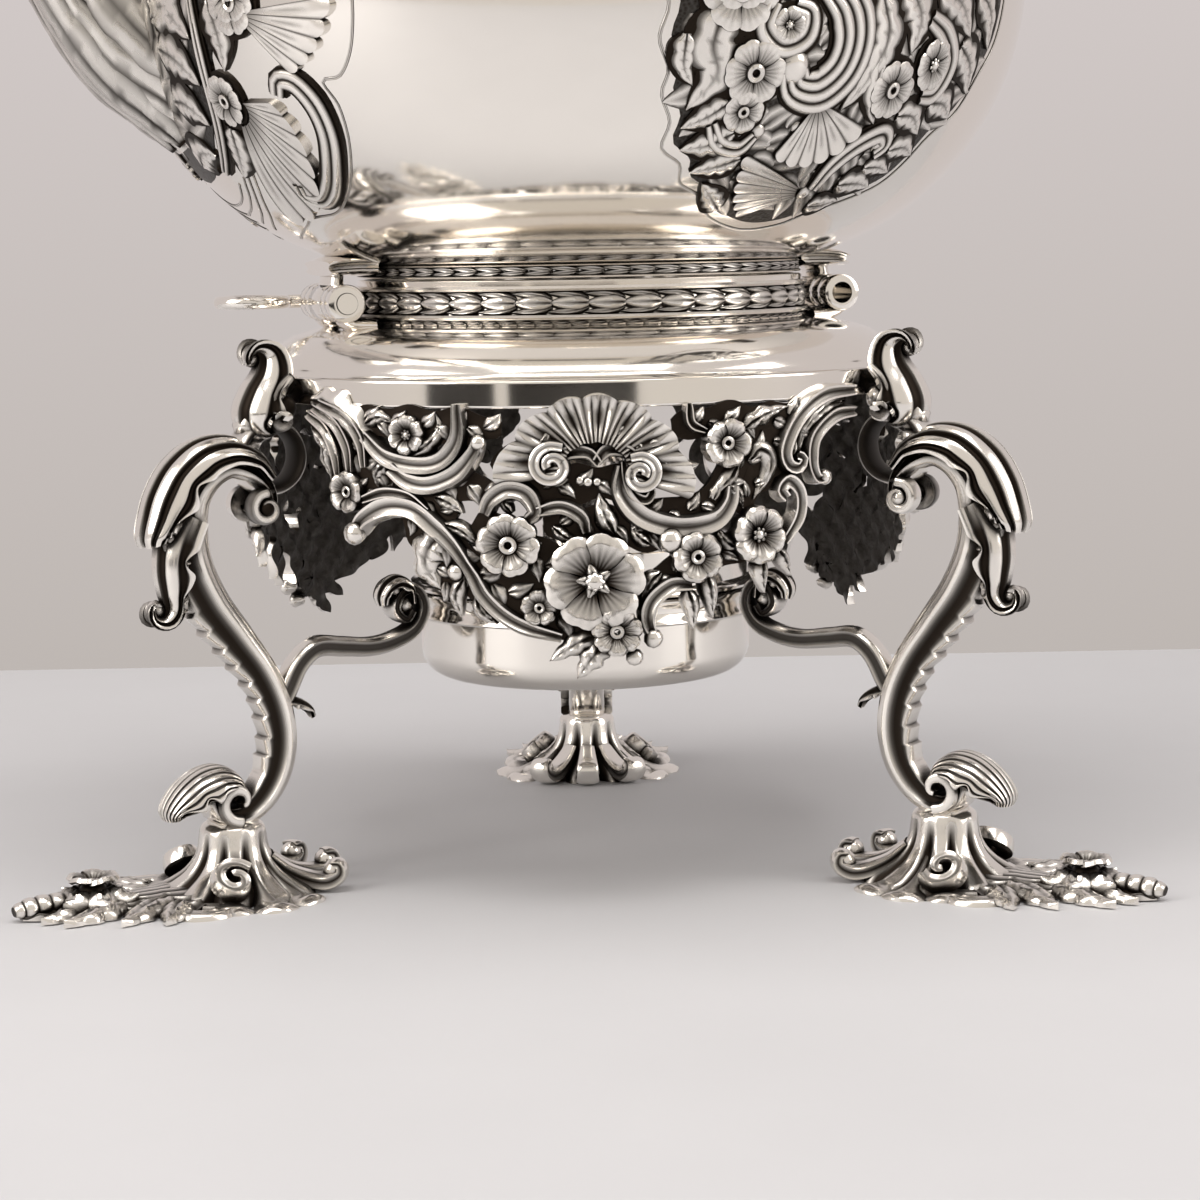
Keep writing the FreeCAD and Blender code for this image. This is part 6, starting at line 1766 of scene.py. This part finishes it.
class Lamp(bpy.types.Operator):
    """Spirit burner: reservoir, cover, wick tube, wick and snuffer"""

    bl_idname = "kettle.lamp"
    bl_label = "Spirit burner"

    BASE = ((0.0, 40.6), (29.0, 40.0))
    # Centre, radius, start and end in degrees, and number of points.
    CORNER = ((30.8, 46.0), 6.0, -90, 0, 10)
    WALL = ((36.8, 59.4), (37.6, 59.96), (38.9, 60.1), (39.1, 60.65), (38.9, 61.2), (37.6, 61.34),
            (36.8, 61.9), (36.8, 69.6), (36.4, 70.0), (35.4, 70.0), (35.4, 62.0), (35.4, 46.0), (30.0, 41.4),
            (0.0, 41.8))
    STRANDS = 3
    STRAND_REACH = 2.6
    STRAND_RADIUS = 3.0
    STRAND_TURNS = 2.2
    WICK_BOTTOM = 46.6
    WICK_LENGTH = 41.6

    def strand(self, share):
        """One strand of the wick, which winds round the others."""
        def place(first, second):
            angle = FULL_TURN * second
            around = FULL_TURN * (share + self.STRAND_TURNS * first)
            return Vector((self.STRAND_REACH * math.cos(around) + self.STRAND_RADIUS * math.cos(angle),
                           self.STRAND_REACH * math.sin(around) + self.STRAND_RADIUS * math.sin(angle),
                           self.WICK_BOTTOM + self.WICK_LENGTH * first))
        return closed(sheet(40, 12, place))

    def execute(self, context):
        looks = context.scene.kettle_looks
        silver = polished_silver(looks)
        can = spun([*self.BASE, *arc(*self.CORNER), *self.WALL])
        single("burner_can", [can], "burner", ["burner_reservoir"], silver)
        refinish(silver, "burner_cover", "wick_tube", "snuffer_cap", "snuffer_knob")
        braid = [self.strand(number / self.STRANDS) for number in range(self.STRANDS)]
        single("wick_braid", braid, "burner", ["wick"], braided_cotton(looks), slot="cotton")
        return {"FINISHED"}


class Studio(bpy.types.Operator):
    """Pale table, soft studio light and the camera"""

    bl_idname = "kettle.studio"
    bl_label = "Studio"

    TABLE_BACK = 282.0
    TABLE_SIDE = 900.0
    TABLE_FRONT = 620.0
    ROOM_COLOUR = "#DAD3CB"
    SHADED_LOW_WALL_COLOUR = "#BCB5B0"
    STRIP_COLOUR = "#1E1B19"
    # Middle and half width of the dark strip, of the gap in it, and of its height.
    STRIP = (math.radians(-17.5), math.radians(36.5))
    STRIP_GAP = (math.radians(-27.1), math.radians(2.4))
    STRIP_LEVEL = (-0.05, 0.06)
    # Name, place, aim, width, height, power and colour.
    SOFT_BOXES = (
        ("soft_box_left", (-900, -500, 620), (0, 0, 120), 700, 900, 8, "#FFFAF4"),
        ("soft_box_right", (950, -350, 560), (0, 0, 120), 600, 900, 5, "#FFFBF6"),
        ("soft_box_top", (0, -250, 1150), (0, -120, 100), 900, 700, 10, "#FFFCF8"),
    )
    CAMERA_SPOT = (-0.145, -637.4, 136.7)
    # Yaw, pitch and roll in degrees.
    CAMERA_TURNS = (-0.32, -7.26, -0.99)
    SENSOR = 36.0
    NEAREST = 0.05

    def table(self, scene):
        """The table top, which ends behind the stand."""
        top = bmesh.new()
        bmesh.ops.create_grid(top, x_segments=1, y_segments=1, size=0.5)
        for vert in top.verts:
            edge = self.TABLE_BACK if vert.co.y > 0 else -self.TABLE_FRONT
            vert.co = Vector((vert.co.x * 2 * self.TABLE_SIDE, edge, 0))
        moved(top, Matrix.Translation(STAND_AXIS) @ Matrix.Scale(MM, 4))
        mesh = bpy.data.meshes.new("table_top")
        top.to_mesh(mesh)
        top.free()
        mesh.materials.append(painted_table(scene.kettle_looks))
        table = bpy.data.objects.new("table_top", mesh)
        scene.collection.objects.link(table)

    def room(self, scene):
        """The room that lights the part and shows in its silver, and the wall that the camera sees."""
        looks = scene.kettle_looks
        world = bpy.data.worlds.new("Studio")
        scene.world = world
        world.use_nodes = True
        tree = world.node_tree
        tree.nodes.clear()
        spots = add(tree, "ShaderNodeTexCoord")
        parts = add(tree, "ShaderNodeSeparateXYZ", {}, {"Vector": (spots, "Generated")})
        away = add(tree, "ShaderNodeMapRange", {"From Min": -0.9, "From Max": 0.25}, {"Value": (parts, "Y")},
                   interpolation_type="SMOOTHSTEP")
        bare_room = mixed(tree, linear(self.ROOM_COLOUR), looks.wall, (away, "Result"))
        # A dark strip low on the camera's side draws the dark bars that the polished rim shows.
        facing = maths(tree, "MULTIPLY", (parts, "Y"), -1.0)
        turned = maths(tree, "ARCTAN2", (parts, "X"), (facing, "Value"))
        bars = maths(tree, "COMPARE", (turned, "Value"), *self.STRIP)
        gap = maths(tree, "COMPARE", (turned, "Value"), *self.STRIP_GAP)
        across = maths(tree, "SUBTRACT", (bars, "Value"), (gap, "Value"))
        level = maths(tree, "COMPARE", (parts, "Z"), *self.STRIP_LEVEL)
        strip = maths(tree, "MULTIPLY", (across, "Value"), (level, "Value"))
        room = mixed(tree, (bare_room, MIX_RESULT), linear(self.STRIP_COLOUR), (strip, "Value"))
        # The wall is painted a little darker towards the table, as shade.
        climb = add(tree, "ShaderNodeMapRange", {"From Min": -0.17, "From Max": 0.08},
                    {"Value": (parts, "Z")})
        wall = mixed(tree, linear(self.SHADED_LOW_WALL_COLOUR), looks.wall, (climb, "Result"))
        seen = add(tree, "ShaderNodeLightPath")
        tint = mixed(tree, (room, MIX_RESULT), (wall, MIX_RESULT), (seen, "Is Camera Ray"))
        # Matt things get less of the room's light than polished ones, so the shadow under the stand is deep.
        power = add(tree, "ShaderNodeMapRange", {"To Min": 1.0, "To Max": 0.5},
                    {"Value": (seen, "Is Diffuse Ray")})
        glow = add(tree, "ShaderNodeBackground", {},
                   {"Color": (tint, MIX_RESULT), "Strength": (power, "Result")})
        add(tree, "ShaderNodeOutputWorld", {}, {"Surface": (glow, "Background")})

    def soft_box(self, scene, name, spot, target, width, height, power, colour):
        """A soft box at a spot about the stand's axis, in millimetres, aimed at a target."""
        light = bpy.data.lights.new(name, "AREA")
        light.shape = "RECTANGLE"
        light.size = width * MM
        light.size_y = height * MM
        light.energy = power
        light.color = linear(colour)
        lamp = bpy.data.objects.new(name, light)
        way = Vector(target) - Vector(spot)
        lamp.matrix_world = (Matrix.Translation(STAND_AXIS + Vector(spot) * MM)
                             @ way.to_track_quat("-Z", "Y").to_matrix().to_4x4())
        scene.collection.objects.link(lamp)

    def camera(self, scene):
        """The camera that took the photo, as fitted to it."""
        lens = bpy.data.cameras.new("Camera")
        lens.sensor_width = self.SENSOR
        lens.sensor_fit = "HORIZONTAL"
        lens.lens = scene.kettle_looks.lens
        lens.clip_start = self.NEAREST
        camera = bpy.data.objects.new("Camera", lens)
        yaw, pitch, roll = (math.radians(angle) for angle in self.CAMERA_TURNS)
        camera.matrix_world = (
            Matrix.Translation(STAND_AXIS + Vector(self.CAMERA_SPOT) * MM) @ Matrix.Rotation(yaw, 4, "Z")
            @ Matrix.Rotation(math.pi / 2 + pitch, 4, "X") @ Matrix.Rotation(roll, 4, "Z"))
        scene.collection.objects.link(camera)
        scene.camera = camera

    def execute(self, context):
        scene = context.scene
        self.table(scene)
        self.room(scene)
        for values in self.SOFT_BOXES:
            self.soft_box(scene, *values)
        self.camera(scene)
        scene.view_settings.view_transform = "Standard"
        return {"FINISHED"}


OPERATORS = (StandRing, Aprons, Legs, Brackets, Feet, BurnerArms, KettleBody, Chasing, Lid, Spout, Bail,
             Hinges, Lamp, Studio)


class KettlePanel(bpy.types.Panel):
    """Sidebar list of the pieces"""

    bl_idname = "VIEW3D_PT_kettle"
    bl_label = "Kettle"
    bl_space_type = "VIEW_3D"
    bl_region_type = "UI"
    bl_category = "Kettle"

    def draw(self, context):
        for name in KettleLooks.__annotations__:
            self.layout.prop(context.scene.kettle_looks, name)
        for kind in OPERATORS:
            self.layout.operator(kind.bl_idname)


def register():
    """Registers the settings, the operators and the panel."""
    for kind in (KettleLooks, *OPERATORS, KettlePanel):
        bpy.utils.register_class(kind)
    bpy.types.Scene.kettle_looks = PointerProperty(type=KettleLooks)


def unregister():
    """Removes what register added."""
    del bpy.types.Scene.kettle_looks
    for kind in (KettlePanel, *reversed(OPERATORS), KettleLooks):
        bpy.utils.unregister_class(kind)


def main():
    """Makes every piece in order."""
    register()
    for kind in OPERATORS:
        group, action = kind.bl_idname.split(".")
        getattr(getattr(bpy.ops, group), action)()


if __name__ == "__main__":
    main()
